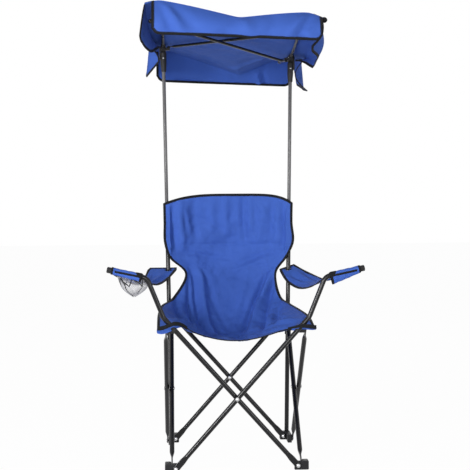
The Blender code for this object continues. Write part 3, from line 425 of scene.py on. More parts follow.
def ribbed_tape(name, colour):
    """Grosgrain binding: fine ribs across the tape, with a painted highlight on their crests."""
    f = Finish(name, colour, 0.70)
    ribs = f.ripples("Y", 0.0012)
    lint = f.noise(160, 4)
    # The colour is lighter on the crests of the ribs, where a fine noise is high, and darker between them: a
    # painted highlight and painted shade on the ribs.
    f.set("Base Color", f.colours(f.math("MULTIPLY", ribs, lint), shade(colour, 0.7), shade(colour, 2.6)))
    f.set("Roughness", f.between(lint, 0.6, 0.85))
    f.set("Normal", f.bump(ribs, 0.0003, 0.7))
    f.set("Specular IOR Level", 0.12)
    f.set("Sheen Weight", 0.02)
    return f.material


def spun_thread(name, colour, roughness=0.7):
    """Twisted thread or strand."""
    f = Finish(name, colour, roughness)
    f.set("Base Color", f.colours(f.noise(500, 3), shade(colour, 0.75), shade(colour, 1.3)))
    f.set("Normal", f.bump(f.noise(2200, 2), 0.0001, 0.5))
    f.set("Sheen Weight", 0.2)
    return f.material


finishes = {}
groups = {}


def make_finishes():
    """Make every material and node group once."""
    colour = bpy.context.scene.chair_colours
    cloth = bpy.context.scene.chair_cloth
    finishes.update(
        tube=coated_tube("gloss_black_coat", colour.tube, 0.14, 0.0),
        pole=coated_tube("satin_grey_coat", colour.pole, 0.28, 0.10),
        plastic=moulded_plastic("moulded_nylon", colour.plastic),
        rivet=plated_metal("bright_zinc", colour.rivet),
        cloth=woven_cloth("woven_polyester", colour.cloth, cloth.weave),
        tape=ribbed_tape("binding_tape", colour.tape),
        thread=spun_thread("sewing_thread", colour.thread),
        net=spun_thread("net_strand", colour.net, 0.55),
    )
    groups.update(stitches=stitch_group(), rivets=rivet_group(), net=net_group())


# Mesh building


def new_mesh(name, points, edges=(), faces=()):
    """A mesh from points in the chair's own frame."""
    mesh = bpy.data.meshes.new(name)
    mesh.from_pydata([(p[0], p[1] + frame_shift, p[2]) for p in points], edges, faces)
    return mesh


def new_object(name, data):
    """An object for some data, in the scene."""
    item = bpy.data.objects.new(name, data)
    bpy.context.scene.collection.objects.link(item)
    return item


def rework(mesh, change):
    """Edit a mesh through bmesh."""
    bm = bmesh.new()
    bm.from_mesh(mesh)
    change(bm)
    bm.to_mesh(mesh)
    bm.free()
    return mesh


def apply_modifiers(item):
    """Turn what an object's modifiers show into its plain mesh."""
    bpy.context.view_layer.update()
    shown = item.evaluated_get(bpy.context.evaluated_depsgraph_get())
    made = bpy.data.meshes.new_from_object(shown)
    item.modifiers.clear()
    item.data = made
    return item


def mount(item, body, node=None):
    """Let a piece ride on a body and, where it stands for a solid, hide that solid."""
    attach(item, body)
    if node:
        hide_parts(node)


class Builder:
    """Gathers shells in the chair's own frame and turns them into one object."""

    def __init__(self):
        self.points = []
        self.faces = []
        self.maps = []

    def add(self, points, faces, maps):
        start = len(self.points)
        self.points.extend(tuple(float(c) for c in p) for p in points)
        self.maps.extend(tuple(float(c) for c in m) for m in maps)
        self.faces.extend(tuple(i + start for i in face) for face in faces)

    def sheet(self, grid, thickness, maps=None):
        """A closed sheet through a grid of points, half its thickness to each side."""
        rows, columns = grid.shape[:2]
        normals = grid_normals(grid)
        maps = grid_map(grid) if maps is None else maps
        upper = (grid + normals * thickness / 2).reshape(-1, 3)
        lower = (grid - normals * thickness / 2).reshape(-1, 3)
        count = rows * columns
        faces = []
        for r in range(rows - 1):
            for c in range(columns - 1):
                a = r * columns + c
                quad = (a, a + 1, a + columns + 1, a + columns)
                faces.append(quad)
                faces.append(tuple(i + count for i in quad[::-1]))
        rim = [c for c in range(columns)]
        rim += [r * columns + columns - 1 for r in range(1, rows)]
        rim += [(rows - 1) * columns + c for c in range(columns - 2, -1, -1)]
        rim += [r * columns for r in range(rows - 2, 0, -1)]
        for k, a in enumerate(rim):
            b = rim[(k + 1) % len(rim)]
            faces.append((b, a, a + count, b + count))
        flat = maps.reshape(-1, 2)
        self.add(np.concatenate([upper, lower]), faces, np.concatenate([flat, flat]))

    def rings(self, rings, closed=False):
        """Skin rings with the same number of points, closing the ends unless it runs round."""
        rings = np.array(rings, float)
        count, sides = rings.shape[:2]
        along = steps_along(rings.mean(axis=1))
        girth = np.linalg.norm(rings[0] - np.roll(rings[0], 1, axis=0), axis=1)
        around = np.cumsum(girth)
        maps = [(around[k], along[r]) for r in range(count) for k in range(sides)]
        faces = []
        last = count if closed else count - 1
        for r in range(last):
            n = (r + 1) % count
            for k in range(sides):
                m = (k + 1) % sides
                faces.append((r * sides + k, r * sides + m, n * sides + m, n * sides + k))
        if not closed:
            faces.append(tuple(range(sides))[::-1])
            faces.append(tuple((count - 1) * sides + k for k in range(sides)))
        self.add(rings.reshape(-1, 3), faces, maps)

    def tape(self, points, inwards, normals, width, thickness, over=0.0010, closed=False):
        """A folded binding along an edge."""
        rings = []
        for p, a, n in zip(*(np.array(rows, float) for rows in (points, inwards, normals))):
            ring = []
            for k in range(12):
                turn = math.tau * (k + 0.5) / 12
                c, s = math.cos(turn), math.sin(turn)
                across = math.copysign(abs(c) ** 0.55, c) * width / 2 + width / 2 - over
                up = math.copysign(abs(s) ** 0.7, s) * thickness / 2
                ring.append(p + a * across + n * up)
            rings.append(ring)
        self.rings(rings, closed)

    def object(self, name, material, smooth_angle=45.0):
        """Make the object, with its place in its mesh and its faces pointing outwards."""
        mesh = new_mesh(name, self.points, faces=self.faces)
        layer = mesh.uv_layers.new(name="UVMap")
        loop_vertices = np.empty(len(mesh.loops), dtype=np.int32)
        mesh.loops.foreach_get("vertex_index", loop_vertices)
        layer.data.foreach_set("uv", np.array(self.maps, dtype=np.float32)[loop_vertices].ravel())
        mesh.materials.append(material)
        rework(mesh, lambda bm: bmesh.ops.recalc_face_normals(bm, faces=bm.faces))
        mesh.shade_smooth()
        mesh.set_sharp_from_angle(angle=math.radians(smooth_angle))
        return new_object(name, mesh)


def grid_normals(grid):
    """Unit normals of a grid of points, rows first."""
    across = np.gradient(grid, axis=1)
    along = np.gradient(grid, axis=0)
    normals = np.cross(across, along)
    return normals / np.maximum(np.linalg.norm(normals, axis=2, keepdims=True), 1e-9)


def steps_along(line):
    """How far each point of a line lies from its start, along it."""
    return np.concatenate([[0], np.cumsum(np.linalg.norm(np.diff(line, axis=0), axis=1))])


def grid_map(grid):
    """A map of a grid in metres: widths across the middle row, lengths down the middle column."""
    rows, columns = grid.shape[:2]
    u, v = steps_along(grid[rows // 2]), steps_along(grid[:, columns // 2])
    return np.stack(np.meshgrid(u, v), axis=2)


def grid_area(grid):
    """Area of the surface through a grid."""
    down, over = grid[1:, :-1], grid[:-1, 1:]
    halves = (np.cross(down - start, over - start) for start in (grid[:-1, :-1], grid[1:, 1:]))
    return float(sum(np.linalg.norm(half_cell, axis=2).sum() for half_cell in halves) / 2)


def edge_of(grid, *sides):
    """Points, inward directions and normals along joined sides of a grid, in order round it."""
    normals = grid_normals(grid)
    picks = {
        "top": (grid[0], normals[0], grid[1]),
        "right": (grid[:, -1], normals[:, -1], grid[:, -2]),
        "bottom": (grid[-1][::-1], normals[-1][::-1], grid[-2][::-1]),
        "left": (grid[:, 0][::-1], normals[:, 0][::-1], grid[:, 1][::-1]),
    }
    points, faces, insides = [], [], []
    for side in sides:
        p, n, q = picks[side]
        start = 1 if points else 0
        points += list(p[start:])
        faces += list(n[start:])
        insides += list(q[start:])
    points, faces, insides = np.array(points), np.array(faces), np.array(insides)
    tangents = np.gradient(points, axis=0)
    tangents /= np.maximum(np.linalg.norm(tangents, axis=1, keepdims=True), 1e-9)
    inwards = np.cross(faces, tangents)
    inwards /= np.maximum(np.linalg.norm(inwards, axis=1, keepdims=True), 1e-9)
    if float((inwards * (insides - points)).sum()) < 0:
        inwards = -inwards
    return points, inwards, faces


def seam_line(edge, inset, lift):
    """A polyline on both faces of a bound edge, for its stitches."""
    points, inwards, normals = edge
    return [points + inwards * inset + normals * lift, points + inwards * inset - normals * lift]


def bind(tape, edge, cloth):
    """Bind an edge and give the two lines of stitches along it."""
    tape.tape(*edge, cloth.tape_width, cloth.tape_thickness)
    return seam_line(edge, cloth.tape_width * seam_share, cloth.tape_thickness / 2)


def hang_cloth(pieces, node, body, flat, area):
    """Let the pieces of one cloth ride on a body, each with a mesh of its own, and hide the solid they stand
    for.
    """
    for item in pieces:
        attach(item, body)
        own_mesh(item)
    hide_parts(node)
    area = min(area, flat[0] * flat[1])


class Crease:
    """A soft ridge, or a hollow when its height is negative, along a line on a sheet."""

    def __init__(self, start, end, width, height):
        self.start = np.array(start, float)
        self.end = np.array(end, float)
        self.width = width
        self.height = height

    def lift(self, places):
        line = self.end - self.start
        t = ((places - self.start) @ line) / max(float(line @ line), 1e-12)
        near = np.clip(t, 0, 1)
        away = np.linalg.norm(places - (self.start + near[..., None] * line), axis=2)
        taper = np.sin(np.pi * np.clip(near, 0.02, 0.98)) ** 0.5
        return self.height * np.exp(-((away / self.width) ** 2)) * taper


def crumple(grid, scale, depth, seed):
    """Small uneven waves over a sheet, from a fixed noise field."""
    rows, columns = grid.shape[:2]
    out = np.zeros((rows, columns))
    for r in range(rows):
        for c in range(columns):
            p = Vector(grid[r, c]) * scale
            p.z += seed
            out[r, c] = noise.noise(p) + 0.4 * noise.noise(p * 2.3)
    return out * depth


def edge_fade(shape, share=0.06):
    """1 inside a grid and 0 along its edges."""
    v = np.linspace(0, 1, shape[0])[:, None]
    u = np.linspace(0, 1, shape[1])[None, :]
    fade = np.clip(np.minimum(v, 1 - v) / share, 0, 1) * np.clip(np.minimum(u, 1 - u) / share, 0, 1)
    return fade * fade * (3 - 2 * fade)


# Repeated pieces


class Group:
    """A geometry node group on a mesh that ends in one material, and shorthand for its nodes."""

    def __init__(self, name):
        self.tree = bpy.data.node_groups.new(name, "GeometryNodeTree")
        for way in ("INPUT", "OUTPUT"):
            self.tree.interface.new_socket("Geometry", in_out=way, socket_type="NodeSocketGeometry")
        self.source = self.tree.nodes.new("NodeGroupInput")

    def value(self, name, kind="NodeSocketFloat"):
        """Add a named input and give its socket on a Group Input node."""
        socket = self.tree.interface.new_socket(name, in_out="INPUT", socket_type=kind)
        source = self.tree.nodes.new("NodeGroupInput")
        return next(s for s in source.outputs if s.identifier == socket.identifier)

    def add(self, kind, inputs, **values):
        return add_node(self.tree, kind, inputs, **values)

    def finish(self, geometry):
        """End in plain smooth geometry with the material that is asked for."""
        plain = self.add("GeometryNodeRealizeInstances", {0: geometry})
        smooth = self.add("GeometryNodeSetShadeSmooth", {0: plain})
        material = self.value("Material", "NodeSocketMaterial")
        paint = self.add("GeometryNodeSetMaterial", {"Geometry": smooth, "Material": material})
        self.add("NodeGroupOutput", {0: paint})
        return self.tree


def run_group(item, group, values):
    """Put a group on an object, set its inputs by identifier and make the result a plain mesh."""
    modifier = item.modifiers.new(group.name, "NODES")
    modifier.node_group = group
    for entry in group.interface.items_tree:
        if entry.item_type == "SOCKET" and entry.in_out == "INPUT" and entry.name in values:
            modifier[entry.identifier] = values[entry.name]
    return apply_modifiers(item)


def stitch_group():
    """Stitches at an even pitch along every line of the mesh."""
    group = Group("row_of_stitches")
    pitch, length, radius = (group.value(name) for name in ("Pitch", "Length", "Radius"))
    curve = group.add("GeometryNodeMeshToCurve", {"Mesh": group.source})
    points = group.add("GeometryNodeCurveToPoints", {"Curve": curve, "Length": pitch}, mode="LENGTH")
    ball = group.add("GeometryNodeMeshUVSphere", {"Segments": 6, "Rings": 4, "Radius": 1.0})
    halved = group.add("ShaderNodeMath", {0: length, 1: 0.5}, operation="MULTIPLY")
    size = group.add("ShaderNodeCombineXYZ", {"X": radius, "Y": radius, "Z": halved})
    spots = {"Points": points.outputs["Points"], "Rotation": points.outputs["Rotation"]}
    return group.finish(group.add("GeometryNodeInstanceOnPoints", {**spots, "Instance": ball, "Scale": size}))


def rivet_group():
    """A domed head on a thin washer at every point, facing its direction."""
    group = Group("domed_rivets")
    radius, height = group.value("Radius"), group.value("Height")
    ball = group.add("GeometryNodeMeshUVSphere", {"Segments": 24, "Rings": 16, "Radius": 1.0})
    size = group.add("ShaderNodeCombineXYZ", {"X": radius, "Y": radius, "Z": height})
    dome = group.add("GeometryNodeTransform", {"Geometry": ball, "Scale": size})
    wider = group.add("ShaderNodeMath", {0: radius, 1: 1.22}, operation="MULTIPLY")
    washer = group.add("GeometryNodeMeshCylinder", {"Vertices": 24, "Depth": 0.0006, "Radius": wider})
    both = group.add("GeometryNodeJoinGeometry", {0: [dome, washer]})
    facing = group.add("GeometryNodeInputNamedAttribute", {"Name": "facing"}, data_type="FLOAT_VECTOR")
    turn = group.add("FunctionNodeAlignRotationToVector", {"Vector": facing}, axis="Z")
    points = group.add("GeometryNodeMeshToPoints", {"Mesh": group.source})
    place = {"Points": points, "Instance": both, "Rotation": turn}
    return group.finish(group.add("GeometryNodeInstanceOnPoints", place))


def net_group():
    """Round strands along every edge of a mesh."""
    group = Group("net_of_strands")
    curve = group.add("GeometryNodeMeshToCurve", {"Mesh": group.source})
    ring = group.add("GeometryNodeCurvePrimitiveCircle", {"Resolution": 4, "Radius": group.value("Radius")})
    return group.finish(group.add("GeometryNodeCurveToMesh", {"Curve": curve, "Profile Curve": ring}))


def stitches(name, lines):
    """Stitches along some lines, as one plain mesh."""
    cloth = bpy.context.scene.chair_cloth
    points, edges = [], []
    for line in lines:
        start = len(points)
        points += list(line)
        edges += [(start + k, start + k + 1) for k in range(len(line) - 1)]
    sizes = {"Pitch": cloth.stitch_pitch, "Length": cloth.stitch_length, "Radius": cloth.thread}
    item = new_object(name, new_mesh(name, points, edges))
    return run_group(item, groups["stitches"], {**sizes, "Material": finishes["thread"]})


def rivets(name, spots, radius=0.0056, height=0.0027):
    """Domed heads at (point, direction) pairs, as one plain mesh."""
    mesh = new_mesh(name, [point for point, way in spots])
    attribute = mesh.attributes.new("facing", "FLOAT_VECTOR", "POINT")
    attribute.data.foreach_set("vector", np.array([way for point, way in spots], np.float32).ravel())
    values = {"Radius": radius, "Height": height, "Material": finishes["rivet"]}
    return run_group(new_object(name, mesh), groups["rivets"], values)


# Tubes


def rounded_ring(centre, wide_way, deep_way, wide, deep, power=2.0, sides=28):
    """Points of an oval whose corners grow squarer with its power."""
    ring = []
    for k in range(sides):
        turn = math.tau * (k + 0.5) / sides
        c, s = math.cos(turn), math.sin(turn)
        across = math.copysign(abs(c) ** (2 / power), c) * wide
        up = math.copysign(abs(s) ** (2 / power), s) * deep
        ring.append(tuple(centre + wide_way * across + deep_way * up))
    return ring


def skin(name, rings, material):
    """One object through a list of rings."""
    build = Builder()
    build.rings(rings)
    return build.object(name, finishes[material])


def flat_end_sections():
    """(distance, half width, half depth, power) from a rounded flat end to the round tube."""
    rows = []
    for share in (-0.985, -0.93, -0.82, -0.65, -0.4, 0.0):
        reach = flat_radius * share
        rows.append((reach, math.sqrt(flat_radius**2 - reach**2), flat_half, 3.2))
    rows.append((flat_length * 0.7, flat_radius, flat_half, 3.2))
    for k in range(9):
        t = smooth_step(k / 8)
        wide = flat_radius + (tube_radius - flat_radius) * t
        deep = flat_half + (tube_radius - flat_half) * t
        rows.append((flat_length + press_length * k / 8, wide, deep, 3.2 - 1.2 * t))
    return rows


def arm_corners(side):
    """Corners of an arm past the seat corner pivot, in its tube's own frame."""
    corners = [Vector((0, 0, scissor_length))]
    for run, angle in zip(arm_runs, (0, upright_angle - scissor_angle, wing_angle - scissor_angle)):
        corners.append(corners[-1] + Vector((side * math.sin(angle), 0, math.cos(angle))) * run)
    return corners


def bent_path(corners, radius, steps=10):
    """Points along a line of corners whose bends are arcs."""
    points = [corners[0]]
    for before, corner, after in zip(corners, corners[1:], corners[2:]):
        towards = (before - corner).normalized()
        onwards = (after - corner).normalized()
        opening = towards.angle(onwards)
        tangent = radius / math.tan(opening / 2)
        centre = corner + (towards + onwards).normalized() * radius / math.sin(opening / 2)
        first = (corner + towards * tangent - centre).normalized()
        last = (corner + onwards * tangent - centre).normalized()
        for k in range(steps + 1):
            points.append(centre + first.slerp(last, k / steps) * radius)
    points.append(corners[-1])
    return points


def scissor_tube(name, node, body, foot, lean, pin_along, arm_side=0):
    """A tube of a scissor pair, pressed flat at its pivots, as the solid it replaces."""
    wide_way, deep_way = (x_way, y_way) if pin_along == "Y" else (y_way, x_way)
    flat_end = flat_end_sections()
    rings = [rounded_ring(z_way * s, wide_way, deep_way, w, d, p) for s, w, d, p in flat_end]
    if arm_side:
        path = bent_path(arm_corners(arm_side), arm_bend_radius)
        for point, ahead in zip(path, headings(path)):
            rings.append(rounded_ring(point, y_way.cross(ahead), y_way, tube_radius, tube_radius))
    else:
        for s, w, d, p in flat_end[::-1]:
            rings.append(rounded_ring(z_way * (scissor_length - s), wide_way, deep_way, w, d, p))
    turn = Matrix.Rotation(lean * scissor_angle, 3, pin_along)
    placed = [[tuple(turn @ Vector(p) + Vector(foot)) for p in ring] for ring in rings]
    mount(skin(name, placed, "tube"), body, node)


def straight_tube(name, node, body, start, end, profile, material, sides=32):
    """A round piece along a line, from (distance, radius) pairs."""
    along = (end - start).normalized()
    wide_way = along.orthogonal().normalized()
    deep_way = along.cross(wide_way)
    rings = [rounded_ring(start + along * s, wide_way, deep_way, r, r, 2.0, sides) for s, r in profile]
    mount(skin(name, rings, material), body, node)


def capped_profile(length, radius, bevel=0.0008):
    """A rod with softened ends."""
    return [
        (0, radius - bevel),
        (bevel * 0.3, radius - bevel * 0.3),
        (bevel, radius),
        (length * 0.5, radius),
        (length - bevel, radius),
        (length - bevel * 0.3, radius - bevel * 0.3),
        (length, radius - bevel),
    ]


def knobbed_profile(length):
    """A rib with a rounded plug on its far end."""
    start = length - knob_length
    return [
        (0, rib_radius - 0.0004),
        (0.0004, rib_radius),
        (start, rib_radius),
        (start + 0.0001, knob_radius - 0.0006),
        (start + 0.0008, knob_radius),
        (length - knob_length * 0.35, knob_radius),
        (length - knob_length * 0.22, knob_radius * 0.94),
        (length - knob_length * 0.12, knob_radius * 0.8),
        (length - knob_length * 0.04, knob_radius * 0.55),
        (length, knob_radius * 0.2),
    ]


class CHAIR_OT_tubes(Operator):
    """Smooth coated tubes, posts, poles and ribs in place of the solids"""

    bl_idname = "chair.tubes"
    bl_label = "Tubes"

    def execute(self, context):
        for name, node, body, side, y, arm_side in (
            ("right_arm_tube", "front_tube_to_right_arm", "front_first_tube", -1, front_y, 1),
            ("left_arm_tube", "front_tube_to_left_arm", "front_second_tube", 1, front_y, -1),
            ("rear_tube_a", "rear_tube_from_left", "rear_first_tube", -1, rear_y, 0),
            ("rear_tube_b", "rear_tube_from_right", "rear_second_tube", 1, rear_y, 0),
        ):
            foot = (side * half, y + side * tube_offset, foot_pivot_height)
            scissor_tube(name, node, body, foot, -side, "Y", arm_side)
        for side, label in both_sides:
            for end, place, x, way in (("back", "rear", outer_x, 1), ("front", "front", inner_x, -1)):
                foot = (side * x, way * half, foot_pivot_height)
                node, body = f"{label}_{place}_leg", f"{label}_side_{place}_tube"
                scissor_tube(f"{label}_leg_{end}", node, body, foot, way, "X")
            post = (f"rear_{label}_post", post_bottom, post_top, tube_radius, "tube", "black_tube")
            self.rod(side, label + "_back_post", label + "_post", *post)
            bottom = post_top - pole_overlap - side * canopy_lean / 2
            pole = (label + "_pole", bottom, head_height(side) - pole_cover, pole_radius, "pole", "grey_pole")
            self.rod(side, label + "_canopy_pole", label + "_pole", *pole)
            self.ribs(side, label)
            self.diagonal(side, label)
        return {"FINISHED"}

    def rod(self, side, name, node, body, bottom, top, radius, material, slot):
        """A post or pole on a post's axis."""
        start, end = Vector(post_point(side, bottom)), Vector(post_point(side, top))
        profile = capped_profile((end - start).length, radius)
        straight_tube(name, node, body, start, end, profile, material)

    def ribs(self, side, label):
        """Front and rear ribs of one side."""
        inset = head_length / 2 - rib_seat
        base = head_height(side) + rib_lift
        ends = ((-1, front_reach, front_rise, "front"), (1, rear_reach, rear_rise, "rear"))
        for way, reach, rise, place in ends:
            start = Vector((side * head_axis_x, post_y + way * inset, base + rise * inset / reach))
            end = Vector((side * head_axis_x, post_y + way * reach, base + rise))
            node, body = f"{label}_{place}_rib", label + "_canopy_head"
            profile = knobbed_profile((end - start).length)
            straight_tube(node + "_tube", node, body, start, end, profile, "pole", 24)

    def diagonal(self, side, label):
        """The rib of one side that crosses under the top: a flat eye, then a round rod."""
        start_height = head_height(side) - head_depth * lug_share - side * brace_step
        end_height = hub_height - head_depth * lug_share - side * brace_step
        end_height += brace_rise + lean_at(-side * brace_corner)
        start = Vector((side * (head_axis_x - brace_inset), post_y - head_length / 3, start_height))
        end = Vector((-side * brace_corner, post_y - front_reach, end_height))
        level = Vector(((end - start).x, (end - start).y, 0)).normalized()
        across = z_way.cross(level)
        wide = rib_radius * 1.35
        eye = (-0.97, -0.85, -0.6, -0.3, 0.0)
        sections = [(s, wide * math.sqrt(1 - s**2), brace_flat, 2.6) for s in eye]
        sections.append((2, wide, brace_flat, 2.6))
        sections.append((3, wide * 0.95, rib_radius * 0.6, 2.2))
        sections.append((4, rib_radius, rib_radius, 2.0))
        step = level * wide
        rings = [rounded_ring(start + step * s, across, z_way, w, d, p, 20) for s, w, d, p in sections]
        first = start + step * 4
        along = (end - first).normalized()
        upright = along.cross(across)
        reach = (end - first).length - (0.0 if side < 0 else diagonal_short)
        for s, r in knobbed_profile(reach)[2:]:
            rings.append(rounded_ring(first + along * s, across, upright, r, r, 2.0, 20))
        item = skin(label + "_diagonal_tube", rings, "tube")
        mount(item, label + "_diagonal", label + "_diagonal_rib")


class CHAIR_OT_fittings(Operator):
    """Moulded plastic on the feet, blocks, sliders, sockets, heads and caps"""

    bl_idname = "chair.fittings"
    bl_label = "Fittings"

    def execute(self, context):
        words = ("foot", "slider", "seat_corner", "socket", "canopy_head", "arm_cap")
        for name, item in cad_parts.items():
            if any(word in name for word in words):
                finish = "plastic"
            elif "rivet" in name:
                finish = "rivet"
            else:
                continue
            for slot in item.material_slots:
                slot.material = finishes[finish]
        return {"FINISHED"}


class CHAIR_OT_rivets(Operator):
    """Domed rivet heads on every pivot and screws on the heads and sockets"""

    bl_idname = "chair.rivets"
    bl_label = "Rivets"

    def execute(self, context):
        low, high = foot_pivot_height, corner_height
        flat = flat_half + fit_gap
        cross = tube_offset + tube_radius + fit_gap
        head_face = head_axis_x - head_width / 2 - fit_gap
        for place, y in (("front", front_y), ("rear", rear_y)):
            spots = [((0, y + way * cross, mid_height), (0, way, 0)) for way in (-1, 1)]
            mount(rivets(place + "_crossing_heads", spots), place + "_first_tube")
        for side, label in both_sides:
            front_foot, rear_foot = front_y + side * tube_offset, rear_y + side * tube_offset
            rear_ear = rear_y - side * tube_offset
            middle = side * (outer_x + inner_x) / 2
            heads = {
                label + "_side_rear_tube": [
                    ((middle - cross, 0, mid_height), (-1, 0, 0)),
                    ((middle + cross, 0, mid_height), (1, 0, 0)),
                ],
                label + "_front_foot": [
                    ((side * half, front_foot - flat, low), (0, -1, 0)),
                    ((side * (inner_x - flat), -half, low), (-side, 0, 0)),
                ],
                f"rear_{label}_post": [
                    ((side * half, rear_foot - flat, low), (0, -1, 0)),
                    ((side * (outer_x + flat), half, low), (side, 0, 0)),
                ],
                label + "_seat_corner": [((side * (outer_x + flat), -half, high), (side, 0, 0))],
                label + "_slider": [
                    ((side * half, rear_ear - flat, high), (0, -1, 0)),
                    ((side * (inner_x - flat), half, high), (-side, 0, 0)),
                ],
                label + "_pole": [((side * head_face, post_y, head_height(side)), (-side, 0, 0))],
            }
            for body, spots in heads.items():
                mount(rivets(f"{body}_{label}_heads", spots), body)
            self.screws(side, label)
        return {"FINISHED"}

    def screws(self, side, label):
        """Small screws that hold the ribs in the head and the socket on its pole."""
        top = head_height(side)
        face = side * head_axis_x - side * head_width * 0.49
        height = top + head_depth * 0.2
        spots = [((face, post_y + way * head_length * 0.36, height), (-side, 0, 0)) for way in (-1, 1)]
        item = rivets(label + "_rib_screws", spots, screw_radius, screw_height)
        mount(item, label + "_canopy_head")
        height = top - 0.034
        spots = [((side * post_x(height), post_y - 0.0112, height), (0, -1, 0))]
        item = rivets(label + "_socket_screw", spots, screw_radius, screw_height)
        mount(item, label + "_pole")


# Canopy


def level_height(x, y):
    """Height of the canopy's top before it leans."""
    forward = y < post_y
    reach = front_reach if forward else rear_reach
    rise = front_rise if forward else rear_rise
    drop = canopy_front_drop if forward else canopy_rear_drop
    share = abs(y - post_y) / reach
    over_ribs = hub_height + rib_lift + knob_radius + top_cloth_gap
    ridge = over_ribs + head_depth * 0.25 * max(0.0, 1 - share * 3) + rise * share
    middle = ridge_shift if forward else ridge_shift + rear_ridge_drift * share
    across = math.hypot(x - middle, ridge_softness) / (head_axis_x - math.copysign(middle, x - middle))
    ridge -= drop * (1 - min(across, 1)) ** fold_power * share**1.5
    beyond = max(0.0, abs(x) - head_axis_x - knob_radius) / (canopy_half_width - head_axis_x - knob_radius)
    return ridge - canopy_corner_drop * beyond**1.4


def canopy_height(x, y):
    """Height of the canopy's top."""
    return level_height(x, y) + lean_at(x)


def hem_height(x, forward):
    """Height of the hem across the front or the rear."""
    y = canopy_front_y if forward else canopy_rear_y
    depth = valance_depth if forward else valance_rear_depth
    return level_height(head_axis_x, y) + lean_at(x) * hem_lean_share - depth


def rounded_end(depth, distance, radius):
    """Depth of a flap near a free end, with its lower corner rounded."""
    if distance >= radius:
        return depth
    return depth - radius + math.sqrt(max(radius**2 - (radius - distance) ** 2, 0))


def canopy_top():
    """The top panel, with a soft hollow between its ribs and ridges over them."""
    edge = np.linspace(0, 1, 11)
    outer = head_axis_x + knob_radius + (canopy_half_width - head_axis_x - knob_radius) * edge
    inner = np.linspace(0, head_axis_x + knob_radius, 40)[:-1]
    right = np.concatenate([inner, outer])
    xs = np.concatenate([-right[:0:-1], right])
    front_half = np.linspace(canopy_front_y, post_y, 60)[:-1]
    ys = np.concatenate([front_half, np.linspace(post_y, canopy_rear_y, 56)])
    grid = np.array([[(x, y, canopy_height(x, y)) for x in xs] for y in ys])
    flat = grid[..., :2]
    folds = (
        Crease((-0.23, post_y + 0.06), (0.02, post_y + 0.36), 0.016, -0.0040),
        Crease((0.02, post_y + 0.36), (0.20, post_y + 0.12), 0.016, -0.0040),
        Crease((-0.20, post_y + 0.14), (-0.02, post_y + 0.40), 0.020, 0.0030),
        Crease((0.16, post_y + 0.10), (0.17, post_y + 0.38), 0.012, 0.0035),
        Crease((-0.26, canopy_front_y + 0.02), (-0.10, post_y - 0.10), 0.018, 0.0030),
        Crease((0.26, canopy_front_y + 0.03), (0.09, post_y - 0.16), 0.018, 0.0030),
        Crease((-0.05, canopy_front_y + 0.03), (0.03, post_y - 0.05), 0.022, -0.0030),
    )
    fade = edge_fade(grid.shape[:2], 0.08)
    over_ribs = np.clip(1 - np.abs(np.abs(grid[..., 0]) - head_axis_x) / 0.03, 0, 1)
    free = fade * (1 - over_ribs)
    lift = sum(fold.lift(flat) for fold in folds) * free + crumple(grid, 9.0, 0.0022, 1.7) * free
    grid[..., 2] += lift * bpy.context.scene.chair_cloth.fold_depth
    return grid


def flap(rim, depths, flare, curls, radii, bulge=0.0, tuck=0.0, wave=0.0, rows=26):
    """A flap hanging from a rim, with rounded free corners.

    rim is a list of (point, outward direction). A curl is how far an end's hem turns
    outwards, and a tuck how far the middle of the first end does.
    """
    points, ways = (np.array([tuple(pair[k]) for pair in rim]) for k in (0, 1))
    run = steps_along(points)
    total = run[-1]
    grid = np.zeros((rows + 1, len(rim), 3))
    for c in range(len(rim)):
        near, far = run[c], total - run[c]
        depth = rounded_end(depths[c], near + corner_round, radii[0])
        depth = min(depth, rounded_end(depths[c], far + corner_round, radii[1]))
        at_start, at_end = smooth_step(1 - near / curl_reach), smooth_step(1 - far / curl_reach)
        curl = curls[0] * at_start + curls[1] * at_end
        swell = bulge + tuck * at_start
        ripple = wave * (math.sin(near * 38 + total) + 0.6 * math.sin(near * 71 + total * 2))
        for r in range(rows + 1):
            v = r / rows
            out = flare[c] * v**0.7 + curl * v**0.9 + ripple * v
            out += swell * math.sin(math.pi * v)
            grid[r, c] = points[c] + ways[c] * out
            grid[r, c, 2] = points[c, 2] - depth * v
    return grid


def flap_folds(grid, folds):
    """Press creases into a flap, with their ends given across and down it."""
    places = grid_map(grid)
    lift = sum(Crease(start, end, width, height).lift(places) for start, end, width, height in folds)
    lift = lift * edge_fade(grid.shape[:2], 0.16) * bpy.context.scene.chair_cloth.fold_depth
    return grid + grid_normals(grid) * lift[..., None]


front_flap_folds = (
    ((0.012, 0.004), (0.075, 0.085), 0.012, 0.0060),
    ((0.035, 0.004), (0.105, 0.070), 0.010, -0.0045),
    ((0.005, 0.075), (0.050, 0.050), 0.010, -0.0040),
    ((0.060, 0.010), (0.170, 0.080), 0.016, 0.0025),
    ((0.290, 0.010), (0.225, 0.085), 0.018, 0.0028),
    ((0.290, 0.010), (0.340, 0.090), 0.020, -0.0035),
    ((0.545, 0.004), (0.470, 0.085), 0.012, 0.0060),
    ((0.515, 0.004), (0.445, 0.065), 0.010, -0.0045),
    ((0.550, 0.075), (0.500, 0.055), 0.010, -0.0040),
    ((0.420, 0.010), (0.370, 0.080), 0.016, 0.0025),
)
rear_flap_folds = (
    ((0.050, 0.050), (0.300, 0.062), 0.010, 0.0042),
    ((0.050, 0.070), (0.280, 0.085), 0.010, -0.0032),
    ((0.420, 0.020), (0.440, 0.080), 0.009, -0.0050),
    ((0.445, 0.015), (0.470, 0.085), 0.009, 0.0040),
    ((0.330, 0.080), (0.430, 0.075), 0.009, -0.0036),
)


